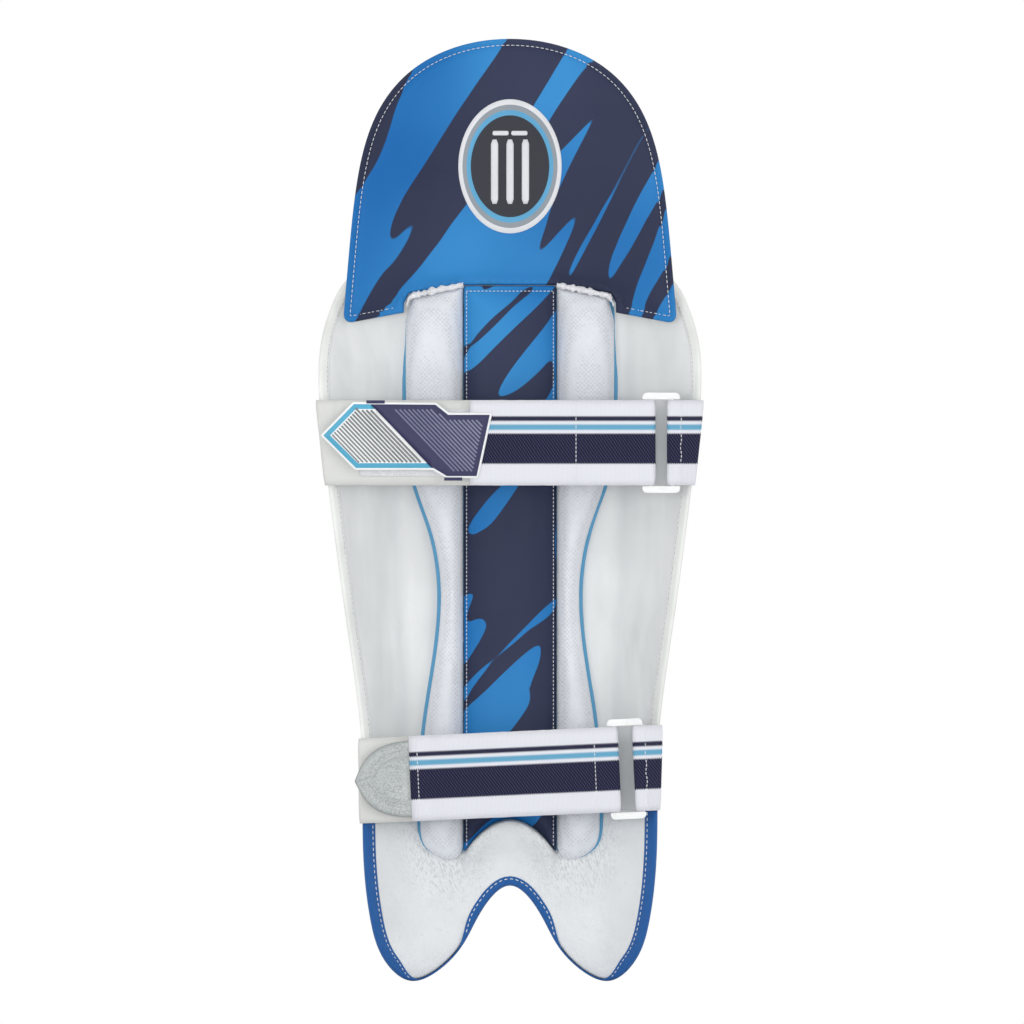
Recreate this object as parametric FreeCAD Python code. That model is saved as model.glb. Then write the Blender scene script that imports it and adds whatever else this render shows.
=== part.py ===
import FreeCAD, Part
import functools
import math
import os

from FreeCAD import Vector

# Cricket batting leg pad, upright as it is worn. Millimetres.
# +Z runs up the shin, +Y is the front face that meets the ball, -Y is the side of the calf.
# The pad is drawn with height 0 at its lowest point and depth 0 at the board's leg face on the
# centre line. At the end it is moved so that the origin lies on the shin seat: the middle of the
# centre bolster's face, halfway between the two straps.
#
# Every padded panel is a sandwich between two depth surfaces, cut to its outline as seen from
# the calf. An offset is measured from the board's leg face, positive towards the leg.

# ---------------------------------------------------------------- driving dimensions
# Board and trough
arch_height = 71.0            # top of the arch over the boot
lobe_centre = 74.0            # lowest point of each lobe, from the centre line
instep_seam = 128.0           # seam between the instep and the shin
board_top = 519.0             # upper end of the shin board
board_half_low = 68.0         # half width of the board at the instep seam
board_half_high = 84.0        # half width of the board at its top
board_radius = 500.0          # the board's own curve round the shin
wing_bend = 20.0              # softness of the bend between board and wing
knee_curl = 0.75              # slope of a wing beside the knee strap
ankle_curl = 1.10             # slope of a wing beside the ankle strap
curl_release_start = 430.0    # above this a wing opens out ...
curl_release_end = 535.0      # ... and is flat here, in front of the flap
foot_flare = 16.0             # how far the lobes kick forward
flare_height = 150.0
top_lean = 8.0                # how far the knee section leans forward
lean_start = 440.0

# Layers of the shin, wings and instep
foam_thickness = 9.5
skin_thickness = 1.2          # linings and faces
layer_gap = 0.15              # between two layers that are glued or sewn together
rim_thickness = 1.1           # rolled edge of a wing, and the binding of the instep
rim_width = 8.0
edge_tuck = 1.5               # how far a panel's layers stay inside its edge

# Front face
rib_count = 7
rib_groove = 1.6
rib_depth = 15.0
rib_end_depth = 5.0
rib_end_length = 14.0
rib_low = 133.0
cane_diameter = 7.0
cane_clearance = 0.3
cane_end_wall = 16.0
cane_share = 0.42             # how deep the cane lies in its rib
roll_names = ("lower", "middle", "upper")
roll_height = 41.0
roll_depth = 27.0
roll_cover = 1.5
roll_corner = 15.0
roll_end_gap = 1.5

# Cushion on the leg side
centre_half = 34.3
bolster_gap = 0.5
side_bolster_depth = 21.0
centre_bolster_depth = 18.0
bolster_edge_depth = 11.0
bolster_end_length = 22.0
bolster_cover = 1.2
backing_margin = 1.2
bolster_top_half = 73.0       # half width of the cushion at its top corners
bolster_top_drop = 9.0        # height of those corners below the board's top
bolster_top_gap = 1.0
centre_arch_side = 96.0       # lower end of the centre bolster beside the side bolsters
centre_arch_top = 121.0       # and on the centre line

# Flap
flap_height = 702.0
flap_seam = 0.3               # between the board's top and the flap
flap_drop = 29.0              # how far the flap's corners hang below the board's top
flap_corner_half = 121.0
flap_side_half = 124.5        # half width of the flap low down, above its cut corners
flap_side_taper = 18.0        # how far each side would lean in by the top
flap_dome_power = 5.2         # how squarely the dome's top turns into its sides
flap_notch_half = 79.0        # half width of the notch that clears the cushion
flap_notch_drop = 21.0        # height of the notch's lower corners below the board's top
flap_radius = 270.0
flap_face_depth = 1.0         # depth of the flap's leg face on the centre line
flap_mid_thickness = 16.0
flap_edge_thickness = 7.0
flap_skin = 1.3
flap_tuck = 5.0               # sewn edge round the flap's foam

# Straps
strap_width = 63.5
under_thickness = 2.0
webbing_thickness = 1.8
tape_thickness = 1.7
tape_width = 50.0
tape_clear = 0.3              # between the hook tape and the loop tape
strap_clear = 0.5             # between a strap and the wing that it goes round
patch_length = 26.0           # of a strap's sewn end on the front of a wing
patch_lift = 0.7              # of that end off the rolled edge, over the wing's bend
wrap_radius = 2.0
patch_radius = 30.0
ease_radius = 12.0            # of a strap's gentle bends
ease_length = 5.0             # straight length of a strap beside a ring's bar
sewn_length = 20.0            # from a ring's bar to where the strap is sewn to itself
anchor_sewn_length = 8.0
anchor_ease_radius = 5.0
bar_clearance = 0.3
ring_wall = 4.2               # thickness of the ring's end bars
ring_cap = 5.0                # and their width
ring_slack = 0.6              # between the webbing's edge and an end bar
ring_corner = 3.6
ring_inner_corner = 1.0
tab_thickness = 1.8
tab_margin = 3.0              # of the tab round its backing

KNEE = {
    "name": "knee", "height": 401.0, "tilt": 0.0, "ring": 112.7, "ring_width": 28.0,
    "ring_overhang": 4.2,
    "under_end": 34.0, "stitch": 47.7, "webbing_end": -30.0,
    "loop_tape": (-112.0, 12.0), "hook_tape": (-112.0, -34.0),
}
ANKLE = {
    "name": "ankle", "height": 154.0, "tilt": 2.6, "ring": 87.0, "ring_width": 26.5,
    "ring_overhang": 2.4,
    "under_end": 40.0, "stitch": 52.0, "webbing_end": -77.0,
    "loop_tape": (-84.0, 16.0), "hook_tape": (-96.0, -65.0),
}

# Outlines, as (distance from the centre line, height)
wing_edge_points = [
    (110.0, instep_seam), (110.0, 165.0), (119.5, 250.0), (130.0, 325.0), (138.0, 390.0),
    (142.5, 440.0), (141.0, 475.0), (133.0, 503.0), (119.0, 525.0), (100.0, 533.0),
]
lobe_points = [
    (109.3, 92.0), (104.0, 45.0), (92.0, 13.0), (lobe_centre, 0.0), (53.0, 8.0), (35.0, 27.0),
    (20.0, 54.0),
]
bolster_edge_points = [
    (51.0, 92.0), (62.0, 101.0), (66.3, 122.0), (63.0, 190.0), (55.0, 243.0), (51.5, 290.0),
    (58.5, 335.0), (69.5, 367.0), (77.5, 434.0), (77.5, 492.0),
]
# Heights on the flap's dome, from 0 at its corners to 1 at its top
flap_dome_levels = (0.04, 0.25, 0.45, 0.6, 0.75, 0.87, 0.95)
# Outlines of the tabs, along and across the strap
knee_tab_points = [
    (-141.5, 5.5), (-117.0, 30.5), (-55.0, 30.0), (-45.5, 22.5), (-13.0, 22.5),
    (-23.5, -26.5), (-47.5, -26.5), (-57.5, -20.5), (-115.5, -20.5),
]
ankle_tab_points = [(-114.0, 0.0), (-72.0, 29.5), (-62.0, 29.5), (-62.0, -29.5), (-72.0, -29.5)]

# ---------------------------------------------------------------- derived dimensions
lining_far = layer_gap + skin_thickness
foam_far = -foam_thickness
face_near = foam_far - layer_gap
face_far = face_near - skin_thickness
rib_seat = face_far - layer_gap
rim_near = lining_far + layer_gap + rim_thickness
rim_far = face_far - layer_gap - rim_thickness
backing_near = lining_far + layer_gap
backing_far = backing_near + skin_thickness
bolster_back = backing_far + layer_gap
rolls_low = board_top - len(roll_names) * roll_height
cushion_top = board_top - bolster_top_gap

half_under = under_thickness / 2
half_web = webbing_thickness / 2
loop_near = half_under + layer_gap
hook_near = loop_near + tape_thickness + tape_clear
layer_pitch = hook_near + tape_thickness + layer_gap + half_web
fold_radius = layer_pitch / 2
bar_radius = fold_radius - half_web - bar_clearance
fold_corner = fold_radius - 0.15

REACH = 260.0                 # longer than the pad is deep
STEP_ACROSS = 10.0            # spacing of a depth surface's points
STEP_UP = 30.0
BORDER = 6.0                  # how far a depth surface reaches beyond what it cuts


# ---------------------------------------------------------------- depth surfaces
def smooth(value, start, end):
    share = min(1.0, max(0.0, (value - start) / (end - start)))
    return share * share * (3.0 - 2.0 * share)


def half_board(z):
    rise = (board_half_high - board_half_low) / (board_top - instep_seam)
    return board_half_low + rise * (z - instep_seam)


def wing_curl(z):
    along = smooth(z, ANKLE["height"], KNEE["height"])
    full = ankle_curl + (knee_curl - ankle_curl) * along
    return full * (1.0 - smooth(z, curl_release_start, curl_release_end))


def spine(z):
    flare = foot_flare * max(0.0, 1.0 - z / flare_height) ** 2
    return flare + top_lean * smooth(z, lean_start, board_top)


def trough(x, z, offset=0.0):
    """Depth of the layer that lies offset from the board's leg face."""
    beyond = max(0.0, abs(x) - half_board(z))
    bend = math.hypot(beyond, wing_bend)
    depth = spine(z) - x * x / (2.0 * board_radius) - wing_curl(z) * (bend - wing_bend)
    slope = abs(x) / board_radius + wing_curl(z) * beyond / bend
    return depth - offset * math.hypot(1.0, slope)


def shifted(depth, amount):
    """The same surface, moved by amount towards the leg."""
    return lambda x, z: depth(x, z) - amount


def flap_leg(x, z):
    return flap_face_depth - x * x / (2.0 * flap_radius)


def flap_front(x, z):
    """The flap is thickest in its middle and thin along its edge."""
    across = min(1.0, abs(x) / flap_notch_half)
    middle = (board_top + flap_height) / 2.0
    up = min(1.0, max(0.0, z - middle) / (flap_height - middle))
    fullness = (1.0 - across ** 3) * (1.0 - up ** 4)
    return flap_leg(x, z) + flap_edge_thickness + (flap_mid_thickness - flap_edge_thickness) * fullness


def ticks(low, high, step):
    """Multiples of a step that cover a stretch."""
    first, last = math.floor((low - BORDER) / step), math.ceil((high + BORDER) / step)
    return [index * step for index in range(first, last + 1)]


def in_front_of(depth, half_width, low, high, fineness=1):
    """Everything on the front side of a depth surface, over a part of the XZ plane."""
    across = ticks(-half_width, half_width, STEP_ACROSS / fineness)
    up = ticks(low, high, STEP_UP / fineness)
    surface = Part.BSplineSurface()
    surface.interpolate([[Vector(x, depth(x, z), z) for z in up] for x in across])
    return surface.toShape().extrude(Vector(0, REACH, 0))


@functools.lru_cache(maxsize=None)
def board_space(offset):
    """Everything in front of the pad's depth surface at an offset."""
    widest = max(x for x, z in wing_edge_points)
    highest = max(z for x, z in wing_edge_points)
    return in_front_of(lambda x, z: trough(x, z, offset), widest, 0.0, highest)


def flap_space(depth):
    return in_front_of(depth, flap_side_half, board_top - flap_drop, flap_height)


def bolster_space(depth):
    return in_front_of(depth, bolster_top_half, 0.0, board_top, 2)


def prism(outline):
    """A closed outline, drawn in the XZ plane, extruded through the whole depth."""
    face = Part.Face(outline)
    face.translate(Vector(0, -REACH / 2, 0))
    return face.extrude(Vector(0, REACH, 0))


def panel(outline, leg_space, front_space):
    """The solid inside an outline, between the spaces in front of its leg face and its front."""
    return prism(outline).common(leg_space).cut(front_space)


def board_panel(outline, near, far):
    return panel(outline, board_space(near), board_space(far))


# ---------------------------------------------------------------- outlines
def spot(point):
    return Vector(point[0], 0, point[1])


def mirrored(points):
    return [(-x, z) for x, z in points]


def mirror(shape):
    return shape.mirror(Vector(0, 0, 0), Vector(1, 0, 0))


def curve(points):
    spline = Part.BSplineCurve()
    spline.interpolate([spot(p) for p in points])
    return spline.toShape()


def line(start, end):
    return Part.makeLine(spot(start), spot(end))


def chain(points):
    return [line(start, end) for start, end in zip(points[:-1], points[1:])]


def polygon(points):
    return Part.Wire(chain(points + points[:1]))


def inset(wire, distance):
    """The outline moved inwards, as splines that are closed end to end."""
    return Part.Wire(Part.__sortEdges__(wire.makeOffset2D(-distance).toNurbs().Edges))


def corner_arc(before, here, after, radius):
    """Start, middle and end of the arc that rounds a corner."""
    back, ahead = (before - here).normalize(), (after - here).normalize()
    half = back.getAngle(ahead) / 2.0
    reach = radius / math.tan(half)
    inward = (back + ahead).normalize()
    centre = here + inward * (radius / math.sin(half))
    return here + back * reach, centre - inward * radius, here + ahead * reach


def rounded_polygon(points, radii):
    """A closed outline with an arc of its own radius at each corner."""
    spots = [spot(p) for p in points]
    arcs = []
    for index, here in enumerate(spots):
        after = spots[(index + 1) % len(spots)]
        arcs.append(corner_arc(spots[index - 1], here, after, radii[index]))
    edges = []
    for index, (start, middle, end) in enumerate(arcs):
        edges.append(Part.makeLine(arcs[index - 1][2], start))
        edges.append(Part.Arc(start, middle, end).toShape())
    return Part.Wire(edges)


def wing_outline(tuck):
    """The right wing, from the board's edge to its own edge, less tuck along that edge."""
    edge = [(x - tuck, z) for x, z in wing_edge_points[:-2]]
    edge += [(x - tuck, z - tuck) for x, z in wing_edge_points[-2:]]
    low_in = (half_board(instep_seam) + layer_gap, instep_seam)
    high_in = (half_board(board_top - tuck) + layer_gap, board_top - tuck)
    return Part.Wire([curve(edge)] + chain([edge[-1], high_in, low_in, edge[0]]))


def wing_half(z):
    """Half width of the pad at the wing's edge."""
    spline = Part.BSplineCurve()
    spline.interpolate([spot(p) for p in wing_edge_points])
    low, high = spline.FirstParameter, spline.LastParameter
    for _ in range(40):
        middle = (low + high) / 2.0
        if spline.value(middle).z < z:
            low = middle
        else:
            high = middle
    return spline.value(low).x


def board_outline():
    low, high = half_board(instep_seam), half_board(board_top)
    return polygon([(-low, instep_seam), (low, instep_seam), (high, board_top), (-high, board_top)])


def instep_outline(tuck):
    """The instep up to its seam, less tuck along its free edge."""
    half, seam = wing_edge_points[0][0], instep_seam - layer_gap
    side = [(half, seam + 3 * rim_width), (half, seam)] + lobe_points
    edge = side + [(0.0, arch_height)] + mirrored(side[::-1])
    whole = Part.Wire([curve(edge), line(edge[-1], edge[0])])
    below = polygon([(-2 * half, -half), (2 * half, -half), (2 * half, seam), (-2 * half, seam)])
    tucked = inset(whole, tuck) if tuck else whole
    return Part.Face(tucked).common(Part.Face(below)).Faces[0].OuterWire


def dome_spot(level):
    """A point of the flap's edge, at a level from 0 at its corners to 1 at its top."""
    low = board_top - flap_drop
    half = (flap_side_half - flap_side_taper * level) * math.sqrt(1.0 - level ** flap_dome_power)
    return half, low + (flap_height - low) * level


def flap_outline():
    """A dome whose two corners hang down beside the cushion."""
    side = [dome_spot(level) for level in flap_dome_levels]
    dome = mirrored(side) + [dome_spot(1.0)] + side[::-1]
    right = [
        dome[-1], (flap_corner_half, board_top - flap_drop),
        (flap_notch_half, board_top - flap_notch_drop), (flap_notch_half, board_top + flap_seam),
    ]
    return Part.Wire([curve(dome)] + chain(right + mirrored(right)[::-1]))


def side_bolster_outline():
    """The right bolster of the cushion, curved in where the calf is."""
    edge = bolster_edge_points
    inner = centre_half + bolster_gap
    corner = (bolster_top_half, board_top - bolster_top_drop)
    low_in, top_in = (inner, centre_arch_side), (inner, cushion_top)
    return Part.Wire([curve(edge)] + chain([edge[-1], corner, top_in, low_in, edge[0]]))


def foot_arch():
    low = (-centre_half, centre_arch_side), (centre_half, centre_arch_side)
    return Part.Arc(spot(low[0]), spot((0, centre_arch_top)), spot(low[1])).toShape()


def centre_bolster_outline():
    side, top = centre_arch_side, cushion_top
    sides = [(centre_half, side), (centre_half, top), (-centre_half, top), (-centre_half, side)]
    return Part.Wire([foot_arch()] + chain(sides))


def cushion_outline():
    """The backing that the three bolsters are sewn to, a little wider than they are."""
    edge = [(x + backing_margin, z) for x, z in bolster_edge_points]
    top = (bolster_top_half + backing_margin, cushion_top)
    foot = (centre_half, centre_arch_side)
    left = mirrored(edge)[::-1]
    across = chain([edge[-1], top, (-top[0], top[1]), left[0]])
    return Part.Wire(
        [foot_arch(), line(foot, edge[0]), curve(edge)] + across
        + [curve(left), line(left[-1], (-foot[0], foot[1]))])


# ---------------------------------------------------------------- shin, wings and instep
def layers(outline):
    """Lining, foam and face of one padded panel."""
    return {
        "lining": board_panel(outline, lining_far, layer_gap),
        "foam": board_panel(outline, 0.0, foam_far),
        "face": board_panel(outline, face_near, face_far),
    }


def binding(outer, tucked, middle):
    """A strip folded round an edge: the space round the panel's own layers, open in the middle."""
    whole = board_panel(outer, rim_near, rim_far)
    inside = board_panel(tucked, lining_far + layer_gap, face_far - layer_gap)
    return whole.cut(inside).cut(prism(middle))


def build_board(parts):
    for layer, shape in layers(board_outline()).items():
        parts["shin_" + layer] = shape


def build_wings(parts):
    wing = layers(wing_outline(edge_tuck))
    wing["rim"] = binding(wing_outline(0.0), wing_outline(edge_tuck - layer_gap), wing_outline(rim_width))
    for layer, shape in wing.items():
        parts["right_wing_" + layer] = shape
        parts["left_wing_" + layer] = mirror(shape)


def build_instep(parts):
    for layer, shape in layers(instep_outline(edge_tuck)).items():
        parts["instep_" + layer] = shape
    tucked = instep_outline(edge_tuck - layer_gap)
    parts["instep_binding"] = binding(instep_outline(0.0), tucked, instep_outline(rim_width))


# ---------------------------------------------------------------- front face
def oval(centre, outward_half, other_half, outward, other):
    """An ellipse round a centre, with one half axis along outward and one along other."""
    long_half, short_half = max(outward_half, other_half), min(outward_half, other_half)
    long_axis, short_axis = (outward, other) if outward_half > other_half else (other, outward)
    wire = Part.Wire(Part.Ellipse(Vector(0, 0, 0), long_half, short_half).toShape())
    turn = FreeCAD.Rotation(long_axis, short_axis, long_axis.cross(short_axis), "XYZ")
    wire.Placement = FreeCAD.Placement(centre, turn)
    return wire


def rib(share, high):
    """One channel of the shin: an oval bar that stands out of the face and tapers at its ends."""
    stations = (
        (rib_low, rib_end_depth), (rib_low + rib_end_length, rib_depth),
        (high - rib_end_length, rib_depth), (high, rib_end_depth),
    )
    sections = []
    for z, depth in stations:
        x = share * half_board(z)
        half_width = half_board(z) / rib_count - rib_groove / 2
        outward = Vector(x / board_radius, 1, 0).normalize()
        centre = Vector(x, trough(x, z, rib_seat), z)
        sections.append(oval(centre, depth, half_width, outward, outward.cross(Vector(0, 0, 1))))
    pairs = zip(sections[:-1], sections[1:])
    spans = [Part.makeLoft(list(pair), True, True) for pair in pairs]
    return spans[0].multiFuse(spans[1:])


def cane(share, high, slack):
    """The cane rod inside a rib, or with slack its bore."""
    ends = []
    for z in (rib_low + cane_end_wall, high - cane_end_wall):
        x = share * half_board(z)
        ends.append(Vector(x, trough(x, z, rib_seat - rib_depth * cane_share), z))
    along = (ends[1] - ends[0]).normalize()
    length = ends[0].distanceToPoint(ends[1]) + 2 * slack
    return Part.makeCylinder(cane_diameter / 2 + slack, length, ends[0] - along * slack, along)


def build_ribs(parts):
    """Channels down the shin, each over its own cane."""
    high = rolls_low - rib_groove
    ribs, canes = [], []
    for number in range(rib_count):
        share = (2.0 * number + 1.0) / rib_count - 1.0
        body = rib(share, high).common(board_space(rib_seat))
        ribs.append(body.cut(cane(share, high, cane_clearance)))
        canes.append(cane(share, high, 0.0))
    parts["shin_ribs"] = Part.makeCompound(ribs)
    parts["cane_rods"] = Part.makeCompound(canes)


def roll(z, less):
    """One knee roll, smaller by less: an oval bar that follows the board's curve."""
    half_length = half_board(z) - roll_end_gap - less
    half_height = (roll_height - rib_groove) / 2 - less
    seat = trough(0, z, rib_seat)
    section = oval(Vector(0, seat, z), roll_depth - less, half_height, Vector(0, 1, 0), Vector(0, 0, 1))
    face = Part.Face(section)
    pivot = Vector(0, seat - board_radius, z)
    angle = math.degrees(half_length / board_radius) + 1.0
    face.rotate(pivot, Vector(0, 0, 1), -angle)
    bar = face.revolve(pivot, Vector(0, 0, 1), 2 * angle)
    corners = [(-half_length, z - half_height), (half_length, z - half_height),
               (half_length, z + half_height), (-half_length, z + half_height)]
    return bar.common(prism(rounded_polygon(corners, [roll_corner - less] * 4)))


def build_knee_rolls(parts):
    """Padded rolls across the knee, each a cover over a foam core."""
    cores = []
    inner = roll_cover + layer_gap
    for number, name in enumerate(roll_names):
        z = rolls_low + (number + 0.5) * roll_height
        hollow = roll(z, roll_cover).common(board_space(rib_seat - roll_cover))
        parts["knee_roll_" + name] = roll(z, 0.0).common(board_space(rib_seat)).cut(hollow)
        cores.append(roll(z, inner).common(board_space(rib_seat - inner)))
    parts["knee_roll_cores"] = Part.makeCompound(cores)


# ---------------------------------------------------------------- cushion
def bolster_half(z):
    """Half width of the cushion at a height, read from the side bolster's edge."""
    points = bolster_edge_points[1:]
    for (x0, z0), (x1, z1) in zip(points[:-1], points[1:]):
        if z <= z1:
            return x0 + (x1 - x0) * max(0.0, (z - z0) / (z1 - z0))
    return points[-1][0]


def crown(x, z, full, low, high):
    """Thickness of a bolster between its two sides: full in the middle, thinner along its edges."""
    across = min(1.0, abs((2.0 * x - low - high) / (high - low)))
    up = smooth(z, centre_arch_side, centre_arch_side + bolster_end_length)
    down = 1.0 - smooth(z, cushion_top - bolster_end_length, cushion_top)
    return bolster_edge_depth + (full - bolster_edge_depth) * (1.0 - across ** 3) * up * down


def side_leg(x, z):
    full = crown(abs(x), z, side_bolster_depth, centre_half + bolster_gap, bolster_half(z))
    return trough(x, z, bolster_back + full)


def centre_leg(x, z):
    return trough(x, z, bolster_back + crown(x, z, centre_bolster_depth, -centre_half, centre_half))


def bolster(outline, leg):
    """A cover open towards the board, and the foam inside it."""
    back, inner = board_space(bolster_back), bolster_cover + layer_gap
    whole = panel(outline, bolster_space(leg), back)
    pocket, core = inset(outline, bolster_cover), inset(outline, inner)
    beyond = board_space(bolster_back - bolster_cover)
    hollow = panel(pocket, bolster_space(shifted(leg, -bolster_cover)), beyond)
    foam = panel(core, bolster_space(shifted(leg, -inner)), back)
    return {"cover": whole.cut(hollow), "foam": foam}


def build_cushion(parts):
    parts["cushion_backing"] = board_panel(cushion_outline(), backing_far, backing_near)
    for layer, shape in bolster(side_bolster_outline(), side_leg).items():
        parts["right_bolster_" + layer] = shape
        parts["left_bolster_" + layer] = mirror(shape)
    for layer, shape in bolster(centre_bolster_outline(), centre_leg).items():
        parts["centre_bolster_" + layer] = shape


# ---------------------------------------------------------------- flap
def build_flap(parts):
    """A lining, and a face that is sewn to it round its edge, over a foam core."""
    outline, leg, front = flap_outline(), flap_space(flap_leg), flap_space(flap_front)
    inner = flap_space(shifted(flap_leg, -flap_skin - layer_gap))
    hollow = panel(inset(outline, flap_tuck), leg, flap_space(shifted(flap_front, flap_skin)))
    core_front = flap_space(shifted(flap_front, flap_skin + layer_gap))
    parts["flap_lining"] = panel(outline, leg, flap_space(shifted(flap_leg, -flap_skin)))
    parts["flap_face"] = panel(outline, inner, front).cut(hollow)
    parts["flap_foam"] = panel(inset(outline, flap_tuck + layer_gap), inner, core_front)


# ---------------------------------------------------------------- straps
def strap_spot(strap, along, depth, across):
    """A point of a strap: along it from the centre line, at a depth, and across its width."""
    tilt = math.radians(strap["tilt"])
    x = along * math.cos(tilt) - across * math.sin(tilt)
    z = strap["height"] + along * math.sin(tilt) + across * math.cos(tilt)
    return Vector(x, depth, z)


def edge_spot(strap, side, across):
    """Where a line along the strap meets the wing's edge: along the strap, and the height."""
    tilt = math.radians(strap["tilt"])
    along = side * wing_half(strap["height"])
    for _ in range(4):
        z = strap_spot(strap, along, 0, across).z
        along = (side * wing_half(z) + across * math.sin(tilt)) / math.cos(tilt)
    return along, z


def ring_depth(strap):
    """Depth of the ring's middle: the straps lie across the wings' edges."""
    depths = []
    for side in (-1, 1):
        for across in (-strap_width / 2, strap_width / 2):
            depths.append(wrap_points(strap, side, across, half_under)[-1][1])
    return min(depths) - fold_radius


def levels(strap):
    """Depths of the under layer's and the upper layer's centre lines at the ring."""
    middle = ring_depth(strap)
    return middle + fold_radius, middle - fold_radius


def bars(strap):
    """Where the ring's two side bars stand along the strap."""
    reach = strap["ring_width"] / 2 - bar_radius - strap["ring_overhang"]
    return strap["ring"] - reach, strap["ring"] + reach


def wrap_line(strap, side, across, out):
    """A centre line round a wing's edge, at one height: its distances and depths, leg side last."""
    along, z = edge_spot(strap, side, across)
    edge, lift = abs(along), rim_far - out - patch_lift
    start, middle = edge - patch_length, edge - patch_length / 2
    return [
        (start, trough(start, z, lift)), (middle, trough(middle, z, lift)),
        (edge + out, trough(edge, z, rim_far) + out), (edge + out, trough(edge, z, rim_near) - out),
    ]


def wrap_points(strap, side, across, half_thickness):
    """The centre line, moved out so that the strap's straight width clears the edge's bulge."""
    out, half = strap_clear + half_thickness, strap_width / 2
    lines = [wrap_line(strap, side, place, out) for place in (-half, 0.0, half)]
    share = (across + half) / strap_width
    points = []
    for (x0, y0), (x1, y1), (x2, y2) in zip(*lines):
        bulge, depth = x1 - (x0 + x2) / 2, y1 - (y0 + y2) / 2
        bulge, depth = max(0.0, bulge), max(0.0, depth) if len(points) < 3 else min(0.0, depth)
        points.append((side * (x0 + (x2 - x0) * share + bulge), y0 + (y2 - y0) * share + depth))
    return points


def chord(strap, along, across):
    """Depth of the under layer's centre line between the left wing's edge and the ring."""
    start = wrap_points(strap, -1, across, half_under)[-1]
    share = (along - start[0]) / (bars(strap)[0] + fold_radius - start[0])
    return start[1] + (levels(strap)[0] - start[1]) * share


def rounded_path(place, points, radii, offset):
    """Edges of a rounded path, moved sideways by offset. place puts a path point in space."""
    spots = [Vector(p[0], p[1], 0) for p in points]
    ways = [(b - a).normalize() for a, b in zip(spots[:-1], spots[1:])]
    moved = []
    for here, first, second in zip(spots, ways[:1] + ways, ways + ways[-1:]):
        normal, other = Vector(-first.y, first.x, 0), Vector(-second.y, second.x, 0)
        total = normal + other
        moved.append(here + total * (offset / total.dot(normal)))
    edges, previous = [], moved[0]
    for index in range(1, len(moved) - 1):
        turns_left = ways[index - 1].cross(ways[index]).z > 0
        radius = radii[index - 1] + (-offset if turns_left else offset)
        start, middle, end = corner_arc(moved[index - 1], moved[index], moved[index + 1], radius)
        edges.append(Part.makeLine(place(previous), place(start)))
        edges.append(Part.Arc(place(start), place(middle), place(end)).toShape())
        previous = end
    return edges + [Part.makeLine(place(previous), place(moved[-1]))]


def band(strap, path, radii, near, far, half_width=strap_width / 2):
    """A flat strip between two offsets of a path. path gives the centre line at a line across."""
    wires = []
    for across in (-half_width, half_width):
        points = path(across)

        def place(point, line_across=across):
            return strap_spot(strap, point.x, point.y, line_across)

        first = rounded_path(place, points, radii, near)
        second = rounded_path(place, points, radii, far)
        start, end = first[0].Vertexes[0].Point, first[-1].Vertexes[-1].Point
        low, high = second[0].Vertexes[0].Point, second[-1].Vertexes[-1].Point
        wires.append(Part.Wire(first + [Part.makeLine(end, high)] + second[::-1] + [Part.makeLine(low, start)]))
    return Part.makeLoft(wires, True, True)


def flat_layer(strap, start, end, near, far, half_width=strap_width / 2):
    """A flat layer over the under strap, near and far from the under strap's centre line."""
    def path(across):
        return [(start, chord(strap, start, across)), (end, chord(strap, end, across))]

    return band(strap, path, [], -far, -near, half_width)


def strap_outline(strap, points):
    """A closed outline drawn along and across a strap."""
    spots = [strap_spot(strap, along, 0, across) for along, across in points]
    return Part.Wire([Part.makeLine(a, b) for a, b in zip(spots, spots[1:] + spots[:1])])


def under_strap(strap):
    """White strap from the front of the left wing, round its edge, to a free end."""
    def path(across):
        end = strap["under_end"]
        return wrap_points(strap, -1, across, half_under) + [(end, chord(strap, end, across))]

    return band(strap, path, [patch_radius, wrap_radius, wrap_radius], -half_under, half_under)


def webbing(strap):
    """Striped webbing over the under strap, round the ring's left bar and sewn to itself."""
    under, upper = levels(strap)
    bar = bars(strap)[0]
    turn, ease, sewn = bar + fold_radius, bar - ease_length, bar - sewn_length
    below = webbing_thickness + layer_gap

    def path(across):
        def top(along):
            return chord(strap, along, across) - layer_pitch

        start, stitch = strap["webbing_end"], strap["stitch"]
        return [
            (start, top(start)), (turn, upper), (turn, under), (ease, under),
            (sewn, top(sewn) + below), (stitch, top(stitch) + below),
        ]

    radii = [fold_corner, fold_corner, ease_radius, ease_radius]
    return band(strap, path, radii, -half_web, half_web)


def anchor_loop(strap):
    """Webbing from the front of the right wing, round its edge and the ring's right bar."""
    under, upper = levels(strap)
    bar = bars(strap)[1]
    turn, ease, sewn = bar - fold_radius, bar + ease_length, bar + anchor_sewn_length

    def path(across):
        wrap = wrap_points(strap, 1, across, half_web)
        edge, depth = wrap[-1]
        slope = (depth - upper) / (edge - ease)
        end_depth = upper + slope * (sewn - ease) + (webbing_thickness + layer_gap) * math.hypot(1, slope)
        fold = [(ease, upper), (turn, upper), (turn, under), (bar + fold_radius, under)]
        return wrap + fold + [(sewn, end_depth)]

    folds = [anchor_ease_radius, fold_corner, fold_corner, anchor_ease_radius]
    radii = [patch_radius, wrap_radius, wrap_radius] + folds
    return band(strap, path, radii, -half_web, half_web)


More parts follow.
